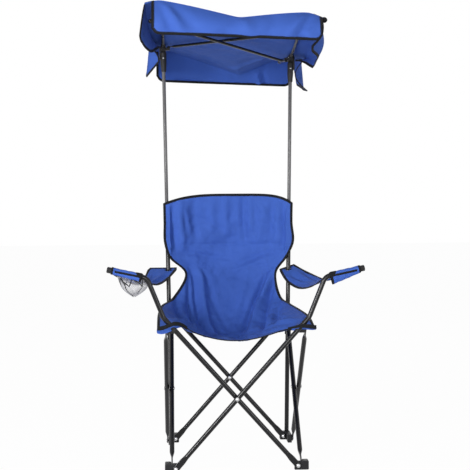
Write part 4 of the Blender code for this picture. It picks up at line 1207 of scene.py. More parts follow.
def canopy_flaps():
    """The six flaps of the valance by name."""
    flaps = {}
    fine = 64
    for forward, label in ((True, "front"), (False, "rear")):
        y = canopy_front_y if forward else canopy_rear_y
        xs = np.linspace(-canopy_half_width + 0.022, canopy_half_width - 0.002, fine)
        rim = [(Vector((x, y, canopy_height(x, y))), -y_way if forward else y_way) for x in xs]
        lower, radius, bulge = (0.008, 0.028, 0.013) if forward else (0.002, 0.034, 0.004)
        depths = [canopy_height(x, y) - hem_height(x, forward) + lower for x in xs]
        flare, curls = [valance_flare] * fine, (-0.004, -0.004)
        made = flap(rim, depths, flare, curls, (radius, radius), bulge=bulge, wave=0.0008)
        flaps[label] = flap_folds(made, front_flap_folds if forward else rear_flap_folds)
    for side, label in both_sides:
        flaps[label + "_front"] = front_side_flap(side, fine)
        flaps[label + "_rear"] = rear_side_flap(side, fine)
    return flaps


def side_rim(side, reach, shares):
    """Points of a side of the canopy's top, away from the pole."""
    x = side * canopy_half_width
    ys = [post_y + reach * share for share in shares]
    return [(Vector((x, y, canopy_height(x, y))), Vector((side, 0, 0))) for y in ys]


def front_side_flap(side, fine):
    """The side flap ahead of a pole: the left one swings out at its corner, the right one bulges."""
    shares = np.linspace(0.03, 0.992, fine)
    rim = side_rim(side, -front_reach - canopy_overhang, shares)
    if side < 0:
        depths = [0.012 + 0.106 * smooth_step(share / 0.8) for share in shares]
        flare = [0.061 * max(0.0, (share - 0.1) / 0.9) ** 1.5 - 0.043 for share in shares]
        return flap(rim, depths, flare, (0.0, 0.002), (0.012, 0.022), wave=0.0012)
    depths = [0.012 + 0.090 * smooth_step(share / 0.6) for share in shares]
    flare = [-0.004 - 0.036 * (1 - smooth_step(share / 0.4)) for share in shares]
    return flap(rim, depths, flare, (0.0, -0.030), (0.012, 0.020), bulge=0.020, wave=0.0012)


def rear_side_flap(side, fine):
    """The side flap behind a pole: the left one slopes to a point, the right one is drawn in."""
    radius = 0.006
    if side < 0:
        shares = np.linspace(0.03, 0.992, fine)
        ramps = [smooth_step(share / 0.22) for share in shares]
        depths = [(0.055 + 0.058 * ramp) * (1 - 0.24 * share) for share, ramp in zip(shares, ramps)]
        flare = [0.006 + 0.014 * share - 0.052 * (1 - ramp) for share, ramp in zip(shares, ramps)]
        tuck = -0.010
    else:
        shares = np.linspace(0.075, 0.992, fine)
        depths = [0.120 * (1 - 0.28 * share) for share in shares]
        flare = [0.006 + 0.014 * share for share in shares]
        tuck = -0.040
    rim = side_rim(side, rear_reach + canopy_overhang, shares)
    return flap(rim, depths, flare, (0.004, -0.004), (radius, 0.024), tuck=tuck, wave=0.0008)


class CHAIR_OT_canopy(Operator):
    """The canopy's top, its six flaps, their binding and seams"""

    bl_idname = "chair.canopy"
    bl_label = "Canopy"

    def execute(self, context):
        cloth = context.scene.chair_cloth
        top = canopy_top()
        flaps = canopy_flaps()
        sheet = Builder()
        sheet.sheet(top, cloth.sheet, top[..., :2].copy())
        for grid in flaps.values():
            sheet.sheet(grid, cloth.sheet)
        canopy = sheet.object("canopy_sheet", finishes["cloth"])
        tape = Builder()
        seams = []
        for grid in flaps.values():
            seams += bind(tape, edge_of(grid, "right", "bottom", "left"), cloth)
            seams.append(grid[1] + grid_normals(grid)[1] * cloth.sheet * 0.6)
        binding = tape.object("canopy_binding", finishes["tape"])
        fold = self.rim_seam(top)
        stitched = stitches("canopy_stitches", seams)
        pieces = [canopy, binding, fold, stitched, self.corner_patches()]
        flat = (2 * canopy_half_width + 0.24, front_reach + rear_reach + 0.28)
        area = grid_area(top) + sum(grid_area(grid) for grid in flaps.values())
        hang_cloth(pieces, "canopy_cloth", "left_canopy_head", flat, area)
        return {"FINISHED"}

    def rim_seam(self, top):
        """The turned seam where the top meets its flaps."""
        line = np.concatenate([top[0], top[1:, -1], top[-1][-2::-1], top[-2:0:-1, 0]])
        rings = []
        count = len(line)
        for k in range(count):
            along = Vector(line[(k + 1) % count] - line[k - 1]).normalized()
            side = along.cross(z_way).normalized()
            rings.append(rounded_ring(Vector(line[k]), side, side.cross(along), 0.0016, 0.0016, 2.0, 8))
        build = Builder()
        build.rings(rings, closed=True)
        return build.object("canopy_rim_seam", finishes["cloth"], 80)

    def corner_patches(self):
        """Black pockets sewn over the ends of the front ribs at the corners."""
        build = Builder()
        for side in (-1, 1):
            rows = []
            for k in range(9):
                y = canopy_front_y - 0.001 + 0.034 * k / 8
                xs = [side * (canopy_half_width - 0.030 + 0.030 * c / 8) for c in range(9)]
                rows.append([(x, y, canopy_height(x, max(y, canopy_front_y)) + 0.0017) for x in xs])
            build.sheet(np.array(rows), 0.0012)
        corner = canopy_height(canopy_half_width, canopy_front_y)
        tip = Vector((canopy_half_width + 0.006, canopy_front_y + 0.004, corner - 0.006))
        rings = []
        for k in range(9):
            turn = math.pi * (k + 0.4) / 8.8
            reach = 0.0075 * math.sin(turn)
            centre = tip + Vector((0.011 * math.cos(turn), 0, 0))
            rings.append(rounded_ring(centre, y_way, z_way, reach, reach * 1.3, 2.0, 16))
        build.rings(rings)
        return build.object("canopy_corner_patches", finishes["tape"])


# Seat and back


def sling_stations():
    """(half width, shift, edge y, edge z, middle y, middle z) from the back's top to the seat's front."""
    low_back = (sleeve_bottom + waist_height) / 2
    high_back = (sleeve_bottom + back_top_height) / 2
    seat_low = seat_corner_top - seat_sag
    seat_front_y = -half - flat_radius / 2
    waist = half - 0.032
    wrap = tube_radius + 0.0045
    rear = half + 0.030
    top = back_top_height + 0.003
    edges = (
        (post_x(back_top_height) + wrap, 0, before_posts, top),
        (post_x(high_back) + wrap, 0, before_posts, high_back),
        (post_x(sleeve_bottom) + wrap + 0.003, 0.003, before_posts, sleeve_bottom),
        (post_x(low_back) * 0.965, 0, post_y - tube_radius * 1.5, low_back),
        (waist, 0.008, post_y - tube_radius * 2.5, waist_height),
        (half - 0.003, -0.008, half * 1.03, waist_height - back_lap + 0.006),
        (rear, -0.015, half * 0.60, seat_corner_top + 0.030),
        (rear + 0.014, -0.010, half * 0.10, seat_corner_top + 0.020),
        (rear + 0.022, -0.005, -half * 0.45, seat_corner_top + 0.012),
        (half + 0.057, 0, seat_front_y, seat_corner_top),
    )
    middles = (
        (post_y + back_sag * 0.35, top + back_top_arch + 0.002),
        (post_y + back_sag * 0.75, high_back + back_top_arch / 2),
        (post_y + back_sag, sleeve_bottom),
        (post_y + back_sag * 0.9, low_back - back_top_arch / 4),
        (post_y + back_sag * 0.5, waist_height - back_top_arch / 2),
        (half + front_plane_offset, waist_height - back_lap * 1.45),
        (half * 0.72, seat_low + seat_sag * 0.12),
        (half * 0.20, seat_low - seat_sag * 0.10),
        (-half * 0.40, seat_low + seat_sag * 0.05),
        (seat_front_y, seat_corner_top - seat_front_sag),
    )
    return [edge + middle for edge, middle in zip(edges, middles)]


def smooth_row(stations, t):
    """A smooth curve through a list of equal-length tuples, for t between 0 and 1."""
    place = t * (len(stations) - 1)
    k = min(int(place), len(stations) - 2)
    f = place - k
    p0, p1, p2, p3 = (stations[min(max(k + d, 0), len(stations) - 1)] for d in (-1, 0, 1, 2))
    result = []
    for a, b, c, d in zip(p0, p1, p2, p3):
        curve = 2 * b + (c - a) * f + (2 * a - 5 * b + 4 * c - d) * f**2
        result.append(0.5 * (curve + (3 * b - a - 3 * c + d) * f**3))
    return result


# Folds of the seat and back: (x, length share) of both ends, then width and height. They start
# with the back's, go on across the waist and down the seat and end at the seat's front edge.
sling_length = 0.86
sling_fold_lines = (
    (-0.205, 0.03, -0.198, 0.27, 0.011, -0.0068),
    (-0.178, 0.02, -0.170, 0.27, 0.012, 0.0044),
    (-0.160, 0.05, -0.140, 0.17, 0.009, 0.0036),
    (-0.130, 0.02, -0.118, 0.24, 0.014, -0.0038),
    (-0.060, 0.03, -0.066, 0.22, 0.018, 0.0030),
    (-0.008, 0.01, -0.004, 0.18, 0.012, 0.0030),
    (0.056, 0.01, 0.062, 0.24, 0.011, -0.0042),
    (0.084, 0.03, 0.088, 0.20, 0.012, 0.0034),
    (0.130, 0.06, 0.110, 0.26, 0.013, 0.0030),
    (0.168, 0.03, 0.150, 0.25, 0.012, -0.0048),
    (0.206, 0.03, 0.198, 0.27, 0.011, -0.0060),
    (-0.150, 0.07, -0.030, 0.16, 0.008, -0.0020),
    (0.110, 0.04, 0.180, 0.16, 0.008, 0.0024),
    (-0.185, 0.235, 0.185, 0.238, 0.007, -0.0018),
    (-0.160, 0.29, 0.020, 0.33, 0.014, -0.0034),
    (0.165, 0.28, 0.040, 0.36, 0.014, -0.0042),
    (0.140, 0.34, 0.000, 0.42, 0.012, 0.0030),
    (-0.150, 0.40, -0.070, 0.72, 0.010, -0.0080),
    (-0.158, 0.44, -0.100, 0.80, 0.009, -0.0074),
    (-0.116, 0.41, -0.030, 0.80, 0.011, 0.0066),
    (-0.110, 0.40, 0.010, 0.66, 0.011, -0.0040),
    (-0.186, 0.54, -0.150, 0.86, 0.013, -0.0074),
    (-0.170, 0.58, -0.120, 0.90, 0.010, 0.0050),
    (0.152, 0.42, 0.080, 0.76, 0.011, 0.0080),
    (0.136, 0.42, 0.046, 0.72, 0.010, -0.0082),
    (0.166, 0.46, 0.110, 0.84, 0.011, -0.0094),
    (0.190, 0.60, 0.150, 0.86, 0.012, -0.0080),
    (0.070, 0.40, 0.020, 0.70, 0.014, 0.0036),
    (0.200, 0.62, 0.110, 0.80, 0.011, 0.0050),
    (-0.215, 0.93, -0.090, 0.80, 0.013, 0.0060),
    (-0.190, 0.97, -0.080, 0.88, 0.011, -0.0050),
    (0.215, 0.93, 0.100, 0.80, 0.013, 0.0060),
    (0.190, 0.97, 0.080, 0.89, 0.011, -0.0050),
    (-0.040, 0.76, -0.015, 0.96, 0.016, 0.0036),
    (0.030, 0.72, 0.045, 0.95, 0.015, -0.0040),
)


def sling_grid(columns=84, lines=170):
    """Seat and back in one sheet, drawn over the front of the posts, with its folds."""
    stations = sling_stations()
    grid = np.zeros((lines + 1, columns + 1, 3))
    places = np.zeros((lines + 1, columns + 1, 2))
    for r in range(lines + 1):
        t = r / lines
        wide, shift, edge_y, edge_z, middle_y, middle_z = smooth_row(stations, t)
        # A row belongs to the back up to t = 0.3 and to the seat past 0.45, with a blend between.
        # Down to t = 0.27 a strip at each side lies flat on its post.
        strip = (tube_radius * 2 + 0.006) * smooth_step((0.27 - t) / 0.07)
        power = 1.25 - 0.25 * smooth_step((t - 0.2) / 0.2) + 0.7 * smooth_step((t - 0.45) / 0.2)
        seat_share = smooth_step((t - 0.3) / 0.15)
        for c in range(columns + 1):
            u = 2 * c / columns - 1
            x = wide * u
            inside = min(abs(x) / (wide - strip), 1.0)
            dip = (1 - inside * inside) ** power
            corner, ease = (3.0, 1.0) if u < 0 else (5.5, 3.5)
            rise = 1 - abs(u) ** (corner - ease * smooth_step(t / 0.3))
            mix = rise * (1 - seat_share) + dip * seat_share
            droop = (0.017 if u < 0 else 0.016) * smooth_step((abs(u) - 0.78) / 0.22)
            droop *= smooth_step((t - 0.92) / 0.08)
            pull = 0.014 * bell(u, -0.72, 0.12) - 0.004 * bell(u, 0.70, 0.11)
            height = edge_z + (middle_z - edge_z) * mix - droop + pull * smooth_step((t - 0.84) / 0.16)
            grid[r, c] = (x + shift, edge_y + (middle_y - edge_y) * dip, height)
            places[r, c] = (x, t * sling_length)
    lift = 0
    for x0, t0, x1, t1, width, height in sling_fold_lines:
        lift += Crease((x0, t0 * sling_length), (x1, t1 * sling_length), width, height).lift(places)
    lift = lift * edge_fade(grid.shape[:2], 0.035)
    waves = crumple(grid, 14.0, 0.0030, 4.2) + crumple(grid, 42.0, 0.0012, 8.1)
    lift = lift + waves * edge_fade(grid.shape[:2], 0.12)
    normals = grid_normals(grid)
    normals *= np.sign(-normals[..., 1:2] + normals[..., 2:3] + 1e-9)
    made = grid + normals * (lift * bpy.context.scene.chair_cloth.fold_depth)[..., None]
    on_post = np.abs(np.abs(made[..., 0]) - post_x(made[..., 2])) < tube_radius + 0.005
    on_post &= made[..., 2] > waist_height
    made[..., 1] = np.where(on_post, np.minimum(made[..., 1], before_posts), made[..., 1])
    return made


def front_edge_point(grid, side, share):
    """Point on the seat's front edge at a share of its width from one side."""
    front = grid[-1]
    last = len(front) - 1
    place = share * last if side < 0 else last - share * last
    low = int(min(place, last - 1))
    return front[low] + (front[low + 1] - front[low]) * (place - low)


def corner_cover_y(side):
    """How far forward a seat corner's cloth passes, in front of the pivot's head."""
    return arm_tube_y(side) - tube_radius - 0.0040


def post_sleeve(side, rows=30):
    """The strip behind the back that closes the sleeve round its post."""
    low, high = sleeve_bottom - 0.004, back_top_height - 0.003
    grid = np.zeros((rows + 1, 19, 3))
    for r in range(rows + 1):
        z = low + (high - low) * r / rows
        axis = side * post_x(z)
        for c in range(19):
            turn = math.radians(-38 + 256 * c / 18)
            reach = tube_radius + 0.0022
            wide = 1.0 + 0.16 * abs(math.cos(turn))
            grid[r, c] = (axis + side * math.cos(turn) * reach * wide, post_y + math.sin(turn) * reach, z)
    return grid


class CHAIR_OT_sling(Operator):
    """Seat and back in one sheet, with its sleeves, binding and corner pockets"""

    bl_idname = "chair.sling"
    bl_label = "Seat and back"

    def execute(self, context):
        cloth = context.scene.chair_cloth
        grid = sling_grid()
        maps = grid_map(grid)
        maps[..., 0] = grid[..., 0]
        build = Builder()
        build.sheet(grid, cloth.sheet * 1.3, maps)
        sleeves = [post_sleeve(side) for side in (-1, 1)]
        for sleeve in sleeves:
            build.sheet(sleeve, cloth.sheet)
        corners = [self.corner_flap(grid, side) for side in (-1, 1)]
        for corner in corners:
            build.sheet(corner, cloth.sheet)
        sling = build.object("sling_sheet", finishes["cloth"])
        tape = Builder()
        seams = []
        for side in ("top", "right", "bottom", "left"):
            seams += bind(tape, edge_of(grid, side), cloth)
        for side in (-1, 1):
            self.webbing(tape, grid, side)
        binding = tape.object("sling_binding", finishes["tape"])
        for column in (6, grid.shape[1] - 7):
            seams.append(grid[4:46, column] + grid_normals(grid)[4:46, column] * cloth.sheet * 0.85)
        pieces = [sling, binding, stitches("sling_stitches", seams)]
        area = grid_area(grid) + sum(grid_area(g) for g in sleeves + corners)
        flat = (0.56, 1.02)
        hang_cloth(pieces, "seat_sling", "rear_left_post", flat, area)
        return {"FINISHED"}

    def corner_flap(self, grid, side):
        """The cloth that wraps the corner's pivot and hangs under the front edge."""
        made = np.zeros((11, 20, 3))
        for c, place in enumerate(np.linspace(0, 0.17, 20)):
            point = front_edge_point(grid, side, place)
            share = c / 19
            depth = 0.004 + (0.020 if side < 0 else 0.010) * math.sin(math.pi * (0.22 + 0.78 * share)) ** 0.8
            forward = corner_cover_y(side) - point[1]
            ease = smooth_step((1 - share) * 3)
            for r in range(11):
                v = r / 10
                back = forward * (smooth_step(v * 2.5) * ease) + 0.012 * smooth_step((v - 0.25) / 0.75) * ease
                aside = side * 0.0015 * math.sin(v * math.pi)
                made[r, c] = point + np.array((aside, back, 0.002 - depth * v))
        return made

    def webbing(self, tape, grid, side):
        """The black band along the front edge over a corner's pivot."""
        points = []
        for k, place in enumerate(np.linspace(0, 0.19 if side < 0 else 0.17, 26)):
            point = front_edge_point(grid, side, place)
            out = smooth_step((1 - k / 25) * 2.2)
            forward = corner_cover_y(side) - 0.0012 - point[1]
            points.append(point + np.array((0, forward * out - 0.002 * (1 - out), 0.006)))
        tape.tape(points, [(0, 0, -1)] * 26, [(0, -1, 0)] * 26, 0.013, 0.0028)


# Armrests


def arm_tube_y(side):
    """Where the plane of the tube with this side's arm lies."""
    return front_y - side * tube_offset


def arm_point(side, back=0.0):
    """Middle of an arm tube at a distance back from its outer end."""
    foot = Vector((-side * half, arm_tube_y(side), foot_pivot_height))
    corners = arm_corners(side)
    turn = Matrix.Rotation(side * scissor_angle, 3, "Y")
    last = turn @ corners[-1] + foot
    inner = turn @ corners[-2] + foot
    return last + (inner - last).normalized() * back


def arm_line(side):
    """Ends of the run of an arm tube that its armrest holds, outer one first."""
    return arm_point(side, cap_length), arm_point(side, arm_runs[2] - arm_bend_radius * 0.55)


def arm_frame(side):
    """Both ends of the run an armrest holds, the way outwards along it and the way up from it."""
    outer, inner = arm_line(side)
    along = (outer - inner).normalized()
    return outer, inner, along, (z_way - along * along.z).normalized()


def arm_tail_height(side):
    """Height at which an armrest goes round its post."""
    outer, inner = arm_line(side)
    return (outer.z + inner.z) / 2 - tube_radius / 2


arm_width_places = (0.0, 0.10, 0.27, 0.48, 0.66, 0.84, 1.0)
left_arm_widths = (0.055, 0.0506, 0.038, 0.038, 0.044, 0.0545)
right_arm_widths = (0.055, 0.0506, 0.043, 0.049, 0.047, 0.030)


def width_share(t):
    """Where t falls among the places of the arm widths, as a share of their steps."""
    for k, (start, stop) in enumerate(zip(arm_width_places, arm_width_places[1:])):
        if t <= stop:
            return (k + (t - start) / (stop - start)) / (len(arm_width_places) - 1)
    return 1.0


def arm_place(side, t):
    """Middle and half width of an armrest, from the arm tube to behind the post."""
    outer, inner = arm_line(side)
    front = (outer + inner) / 2
    near = front.y + tube_radius + sleeve_clearance + arm_thickness / 2
    far = post_y + arm_tail_length * 0.5
    # The right strap's tail slips in behind its post over its last third.
    offset = arm_leaf_offset if side < 0 else arm_leaf_offset - 0.022 * smooth_step((t - 0.70) / 0.30)
    leaf = (post_x(arm_tail_height(side)) + offset) * side
    widths = [abs(outer.x - inner.x) / 2, *(left_arm_widths if side < 0 else right_arm_widths)]
    wide = smooth_row([(width,) for width in widths], width_share(t))[0]
    along = (max(0.0, t - 0.16) / 0.84) ** 1.3
    sag = arm_sag + (0.020 if side < 0 else 0.024)
    height = front.z + (arm_tail_height(side) - front.z) * t - sag * math.sin(math.pi * t**1.7)
    return Vector((front.x + (leaf - front.x) * along, near + (far - near) * t, height)), wide


def cup_place():
    """Middle of the cup pocket's mouth, in the left armrest."""
    outer = arm_line(-1)[0]
    run = post_y + arm_tail_length * 0.5 - outer.y
    reach = tube_radius + sleeve_clearance + arm_thickness + cup_radius + cup_rim * 2
    return arm_place(-1, reach / run)[0]


def arm_grid(side, columns=30, lines=90):
    """An armrest's sheet, with a rounded tail and small folds drawn to its waist."""
    outer, inner = arm_line(side)
    slope = (outer.z - inner.z) / 2
    grid = np.zeros((lines + 1, columns + 1, 3))
    for r in range(lines + 1):
        t = r / lines
        centre, wide = arm_place(side, t)
        wide *= 1 - 0.10 * smooth_step((t - 0.96) / 0.04) ** 2
        for c in range(columns + 1):
            u = 2 * c / columns - 1
            level = slope * u * side * (1 - t) ** 2 - arm_sag * 0.3 * u * u * math.sin(math.pi * t)
            if side > 0:
                level += u * (0.009 * smooth_step((t - 0.4) / 0.5) + 0.011 * math.sin(math.pi * t))
            grid[r, c] = centre + Vector((wide * u, 0, level))
    flat = grid[..., :2] - grid[:1, columns // 2 : columns // 2 + 1, :2]
    waist = grid[int(lines * 0.6), columns // 2, :2] - grid[0, columns // 2, :2]
    tail = grid[int(lines * 0.93), columns // 2, :2] - grid[0, columns // 2, :2]
    folds = []
    for k, offset in enumerate((-0.034, -0.012, 0.014, 0.036)):
        height = 0.0022 if k % 2 else -0.0022
        before, behind = (waist + np.array((offset * 0.3, step)) for step in (-0.03, 0.03))
        folds.append(Crease((offset, 0.02), before, 0.008, height))
        folds.append(Crease(behind, tail + np.array((offset, 0)), 0.008, -height))
    waves = crumple(grid, 22.0, 0.0010, side * 3.0)
    fade = edge_fade(grid.shape[:2], 0.05)
    lift = sum(fold.lift(flat) for fold in folds) * fade + waves * fade
    grid[..., 2] += lift * bpy.context.scene.chair_cloth.fold_depth
    return grid


class CHAIR_OT_armrests(Operator):
    """Two cloth armrests with their sleeves, binding and seams"""

    bl_idname = "chair.armrests"
    bl_label = "Armrests"

    def execute(self, context):
        cloth = context.scene.chair_cloth
        for side, label in both_sides:
            grid = arm_grid(side)
            build = Builder()
            build.sheet(grid, cloth.sheet * 1.4)
            item = build.object(label + "_armrest_sheet", finishes["cloth"])
            self.cut_holes(item, side)
            sleeve = self.sleeve(side)
            loop = Builder()
            loop.sheet(sleeve, cloth.sheet)
            loop = loop.object("sleeve", finishes["cloth"])
            rework(item.data, lambda bm: bm.from_mesh(loop.data))
            bpy.data.objects.remove(loop)
            tape = Builder()
            seams = []
            for edge in ("left", "right", "bottom"):
                seams += bind(tape, edge_of(grid, edge), cloth)
            for edge in ("top", "bottom"):
                tape.tape(*edge_of(sleeve, edge), cloth.tape_width * 0.7, cloth.tape_thickness * 0.85)
            self.front_band(tape, side)
            self.wrap(tape, side)
            self.post_ring(tape, side)
            binding = tape.object(label + "_armrest_binding", finishes["tape"])
            normals = grid_normals(grid)
            for row in (2, 4):
                for face in (1, -1):
                    seams.append(grid[row] + face * normals[row] * cloth.sheet * 0.9)
            pieces = [item, binding, stitches(label + "_armrest_stitches", seams)]
            area = grid_area(grid) + grid_area(sleeve)
            node, flat = label + "_armrest", (0.125, 0.50)
            hang_cloth(pieces, node, label + "_slider", flat, area)
        return {"FINISHED"}

    def sleeve(self, side):
        """The loop of cloth round the arm tube."""
        outer, inner, along, up = arm_frame(side)
        grid = np.zeros((29, 25, 3))
        for c in range(29):
            point = inner + (outer + along * 0.010 - inner) * c / 28
            for r in range(25):
                turn = math.radians(-80 + 345 * r / 24)
                reach = tube_radius + 0.0020 + 0.0012 * smooth_step((c - 23) / 3)
                reach += 0.0004 * math.sin(c * 0.9 + r * 0.5)
                hang = (0.006 if side < 0 else 0.020) * max(0.0, -math.sin(turn)) ** 1.5 * (1 - c / 28) ** 0.8
                way = y_way * math.cos(turn) + up * math.sin(turn)
                grid[c, r] = point + way * reach - up * hang
        return grid

    def front_band(self, tape, side):
        """The seam tape along the front of the sleeve."""
        outer, inner, along, up = arm_frame(side)
        way = -y_way * math.cos(0.12) - up * math.sin(0.12)
        across = along.cross(way).normalized()
        start = inner + way * (tube_radius + 0.0026) - across * 0.003
        points = [start + (outer - inner) * k / 20 for k in range(21)]
        tape.tape(points, [across] * 21, [way] * 21, 0.0072, 0.0016, 0.0)

    def wrap(self, tape, side):
        """Webbing wound round the tube where the sleeve ends at the bend."""
        inner, along = arm_frame(side)[1:3]
        up = along.cross(y_way)
        rings = []
        for k, grow in enumerate((0.0004, 0.0018, 0.0024, 0.0026, 0.0026, 0.0026, 0.0024, 0.0018, 0.0006)):
            centre, reach = inner + along * (0.0035 * k - 0.004), tube_radius + grow
            rings.append(rounded_ring(centre, y_way, up, reach, reach * 1.08))
        tape.rings(rings)

    def post_ring(self, tape, side):
        """Binding round the hole for the post."""
        start, end = arm_place(side, 0)[0].y, arm_place(side, 1)[0].y
        height = arm_place(side, (post_y - start) / (end - start))[0].z
        centre = np.array((side * post_x(arm_tail_height(side)), post_y, height))
        ways = circle(28)
        points = centre + ways * (tube_radius + 0.0014)
        tape.tape(points, ways, [(0, 0, 1)] * 28, 0.005, 0.0036, 0.0004, closed=True)

    def cut_holes(self, item, side):
        """Open the sheet for the post and, on the left, for the cup pocket."""
        tail = arm_tail_height(side)
        holes = [((side * post_x(tail), post_y), tube_radius + 0.0012)]
        if side < 0:
            holes.append((cup_place().xy, cup_radius + 0.0005))
        for (x, y), radius in holes:
            place = Matrix.Translation((x, y + frame_shift, tail))
            rod = {"radius1": radius, "radius2": radius, "depth": 0.12, "segments": 48, "cap_ends": True}
            mesh = bpy.data.meshes.new("hole")
            tool = new_object("hole", rework(mesh, lambda bm: bmesh.ops.create_cone(bm, matrix=place, **rod)))
            modifier = item.modifiers.new("hole", "BOOLEAN")
            modifier.operation = "DIFFERENCE"
            modifier.solver = "EXACT"
            modifier.object = tool
            apply_modifiers(item)
            bpy.data.objects.remove(tool)


# Cup pocket


def pocket_point(centre, turn, down):
    """A point of the cup pocket's net: it hangs in soft lobes and gathers under its middle."""
    lobes = 1 + 0.07 * math.sin(3 * turn + 0.6) * down + 0.05 * math.sin(5 * turn + 2.0) * down
    wide = cup_radius - 0.0012
    if down < cup_wall:
        t = down / cup_wall
        radius = wide * (1 + 0.10 * math.sin(t * math.pi * 0.6)) * lobes
        depth = cup_depth * 0.56 * t
    else:
        t = (down - cup_wall) / (1 - cup_wall)
        radius = wide * (1 + 0.10 * math.sin(math.pi * 0.6)) * (1 - t**1.3) * lobes
        depth = cup_depth * (0.56 + 0.48 * t**0.9)
    sway = 0.016 * smooth_step(down * 1.6)
    depth += 0.003 * math.sin(2 * turn + 1.0) * down
    x = centre.x + math.cos(turn) * radius + sway
    return Vector((x, centre.y + math.sin(turn) * radius, centre.z - depth))


class CHAIR_OT_cup_pocket(Operator):
    """The net cup pocket with its bound mouth and crossed tapes"""

    bl_idname = "chair.cup_pocket"
    bl_label = "Cup pocket"

    def execute(self, context):
        cloth = context.scene.chair_cloth
        centre = cup_place() + Vector((0, 0, -0.001))
        net = new_object("cup_net", self.net_mesh(centre, cloth.net_cells, 24))
        run_group(net, groups["net"], {"Radius": cloth.net_strand, "Material": finishes["net"]})
        tape = Builder()
        ways = circle(56)
        mouth = np.array((centre.x, centre.y, centre.z + 0.0028)) + ways * (cup_radius + 0.0022)
        tape.tape(mouth, [(0, 0, -1)] * 56, ways, 0.0075, 0.0030, closed=True)
        for start in (0.9, 0.9 + math.tau / 2):
            self.net_tape(tape, [pocket_point(centre, start, 0.97 * k / 21) for k in range(22)])
        zigzag = []
        for k in range(73):
            swing = abs((k % 12) / 6 - 1)
            zigzag.append(pocket_point(centre, 0.2 + math.tau * k / 72, 0.16 + 0.42 * swing))
        self.net_tape(tape, zigzag)
        mount(net, "front_second_tube", "cup_pocket")
        mount(tape.object("cup_binding", finishes["tape"]), "front_second_tube")
        return {"FINISHED"}

    def net_mesh(self, centre, around, down):
        """The net's edges: slanting cells between rings that are half a cell apart."""
        points, edges = [], []
        for r in range(down + 1):
            for k in range(around):
                turn = math.tau * (k + 0.5 * (r % 2)) / around
                points.append(pocket_point(centre, turn, min(r / down, 0.985)))
        for r in range(down):
            for k in range(around):
                beside = (k + (1 if r % 2 else -1)) % around
                edges.append((r * around + k, (r + 1) * around + k))
                edges.append((r * around + k, (r + 1) * around + beside))
        return new_mesh("cup_net", points, edges)

    def net_tape(self, tape, path):
        """A narrow tape laid over the net along a path."""
        points, inwards, normals = [], [], []
        middle = sum(path, Vector()) / len(path)
        for here, ahead in zip(path, headings(path)):
            out = Vector((here.x - middle.x, here.y - middle.y, 0.0))
            across = ahead.cross(out).normalized()
            out = across.cross(ahead).normalized()
            points.append(here - across * 0.0018 + out * 0.0004)
            inwards.append(across)
            normals.append(out)
        tape.tape(points, inwards, normals, 0.0036, 0.0016, 0.0)


# Stage


def seen_by_camera(tree):
    """1 in a node tree where the camera looks, straight or by way of gloss and glass."""
    rays = tree.nodes.new("ShaderNodeLightPath").outputs
    seen = rays["Is Camera Ray"]
    for other in ("Is Glossy Ray", "Is Transmission Ray"):
        pair = {0: seen, 1: rays[other]}
        seen = add_node(tree, "ShaderNodeMath", pair, operation="MAXIMUM").outputs[0]
    return seen


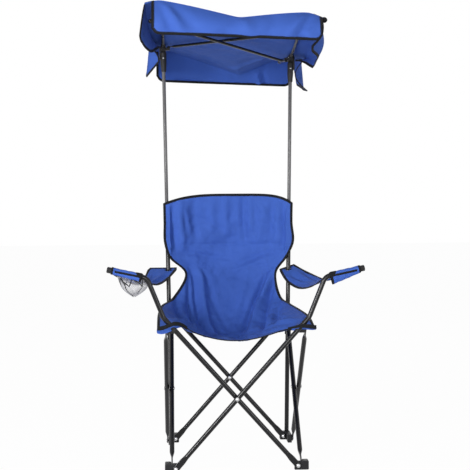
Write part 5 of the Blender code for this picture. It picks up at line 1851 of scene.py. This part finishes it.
class CHAIR_OT_stage(Operator):
    """Pale floor, soft lamps, even surroundings and the camera"""

    bl_idname = "chair.stage"
    bl_label = "Stage"

    def execute(self, context):
        stage = context.scene.chair_stage
        self.camera(context, stage)
        self.floor(context)
        self.world(context, stage)
        target = Vector((0, 0, 0.75))
        self.lamp("key_lamp", (-2.2, -2.8, 1.3), target, (0.5, 1.5), stage.key_power)
        self.lamp("front_lamp", (-0.5, -4.6, 1.1), target, (1.5, 1.0), stage.front_power)
        self.lamp("fill_lamp", (2.3, -3.4, 1.3), target, (0.8, 1.2), stage.fill_power)
        self.lamp("rim_lamp", (0.6, 3.4, 3.0), target, (2.4, 2.4), stage.rim_power)
        context.scene.view_settings.view_transform = "Standard"
        return {"FINISHED"}

    def camera(self, context, stage):
        """A long lens at the photograph's height and distance."""
        data = bpy.data.cameras.new("view_camera")
        data.sensor_width = 36.0
        data.lens = stage.focal_length
        data.dof.use_dof = False
        item = new_object("view_camera", data)
        pitch, yaw, roll = (math.radians(v) for v in stage.camera_turn)
        turn = Matrix.Rotation(-yaw, 4, "Z") @ Matrix.Rotation(math.pi / 2 + pitch, 4, "X")
        item.matrix_world = Matrix.Translation(stage.camera_place) @ turn @ Matrix.Rotation(roll, 4, "Z")
        context.scene.camera = item

    def floor(self, context):
        """A wide floor that keeps the chair's shadow and is white to the camera."""
        mesh = bpy.data.meshes.new("floor")
        rework(mesh, lambda bm: bmesh.ops.create_grid(bm, x_segments=4, y_segments=4, size=30.0))
        floor = new_object("floor", mesh)
        f = Finish("pale_floor", context.scene.chair_colours.floor, 0.9)
        glow = add_node(f.tree, "ShaderNodeEmission", {"Strength": 1.0})
        share = f.math("MULTIPLY", seen_by_camera(f.tree), floor_glow_share)
        mix = add_node(f.tree, "ShaderNodeMixShader", {0: share, 1: f.shader, 2: glow})
        output = next(n for n in f.tree.nodes if n.type == "OUTPUT_MATERIAL")
        f.tree.links.new(mix.outputs[0], output.inputs["Surface"])
        mesh.materials.append(f.material)
        floor.location.z = -0.0004

    def world(self, context, stage):
        """Even light from all round, white where the camera sees it."""
        world = bpy.data.worlds.new("surroundings")
        context.scene.world = world
        world.use_nodes = True
        tree = world.node_tree
        back = next(n for n in tree.nodes if n.type == "BACKGROUND")
        back.inputs["Color"].default_value = (1, 1, 1, 1)
        levels = {0: seen_by_camera(tree), 2: stage.world_level, 3: 1.0}
        level = add_node(tree, "ShaderNodeMix", levels, data_type="FLOAT")
        tree.links.new(level.outputs[0], back.inputs["Strength"])

    def lamp(self, name, place, target, size, power):
        """A soft panel lamp that faces the chair."""
        data = bpy.data.lights.new(name, "AREA")
        data.shape = "RECTANGLE"
        data.size, data.size_y = size
        data.energy = power
        item = new_object(name, data)
        item.location = place
        item.rotation_euler = (target - Vector(place)).to_track_quat("-Z", "Y").to_euler()


class CHAIR_PT_panel(Panel):
    """Lists the settings and the pieces"""

    bl_idname = "CHAIR_PT_panel"
    bl_label = "Canopy Chair"
    bl_space_type = "VIEW_3D"
    bl_region_type = "UI"
    bl_category = "Canopy Chair"

    def draw(self, context):
        scene = context.scene
        for settings in (scene.chair_cloth, scene.chair_colours, scene.chair_stage):
            box = self.layout.box()
            for name in settings.__annotations__:
                box.prop(settings, name)
        for operator in operators:
            self.layout.operator(operator.bl_idname)


operators = (
    CHAIR_OT_tubes,
    CHAIR_OT_fittings,
    CHAIR_OT_rivets,
    CHAIR_OT_canopy,
    CHAIR_OT_sling,
    CHAIR_OT_armrests,
    CHAIR_OT_cup_pocket,
    CHAIR_OT_stage,
)
settings_groups = {
    "chair_cloth": ChairClothSettings,
    "chair_colours": ChairColourSettings,
    "chair_stage": ChairStageSettings,
}


def register():
    for name, group in settings_groups.items():
        bpy.utils.register_class(group)
        setattr(bpy.types.Scene, name, PointerProperty(type=group))
    for operator in operators:
        bpy.utils.register_class(operator)
    bpy.utils.register_class(CHAIR_PT_panel)


def unregister():
    bpy.utils.unregister_class(CHAIR_PT_panel)
    for operator in reversed(operators):
        bpy.utils.unregister_class(operator)
    for name, group in settings_groups.items():
        delattr(bpy.types.Scene, name)
        bpy.utils.unregister_class(group)


def main():
    register()
    make_finishes()
    bpy.ops.chair.tubes()
    bpy.ops.chair.fittings()
    bpy.ops.chair.rivets()
    bpy.ops.chair.canopy()
    bpy.ops.chair.sling()
    bpy.ops.chair.armrests()
    bpy.ops.chair.cup_pocket()
    bpy.ops.chair.stage()


if __name__ == "__main__":
    main()
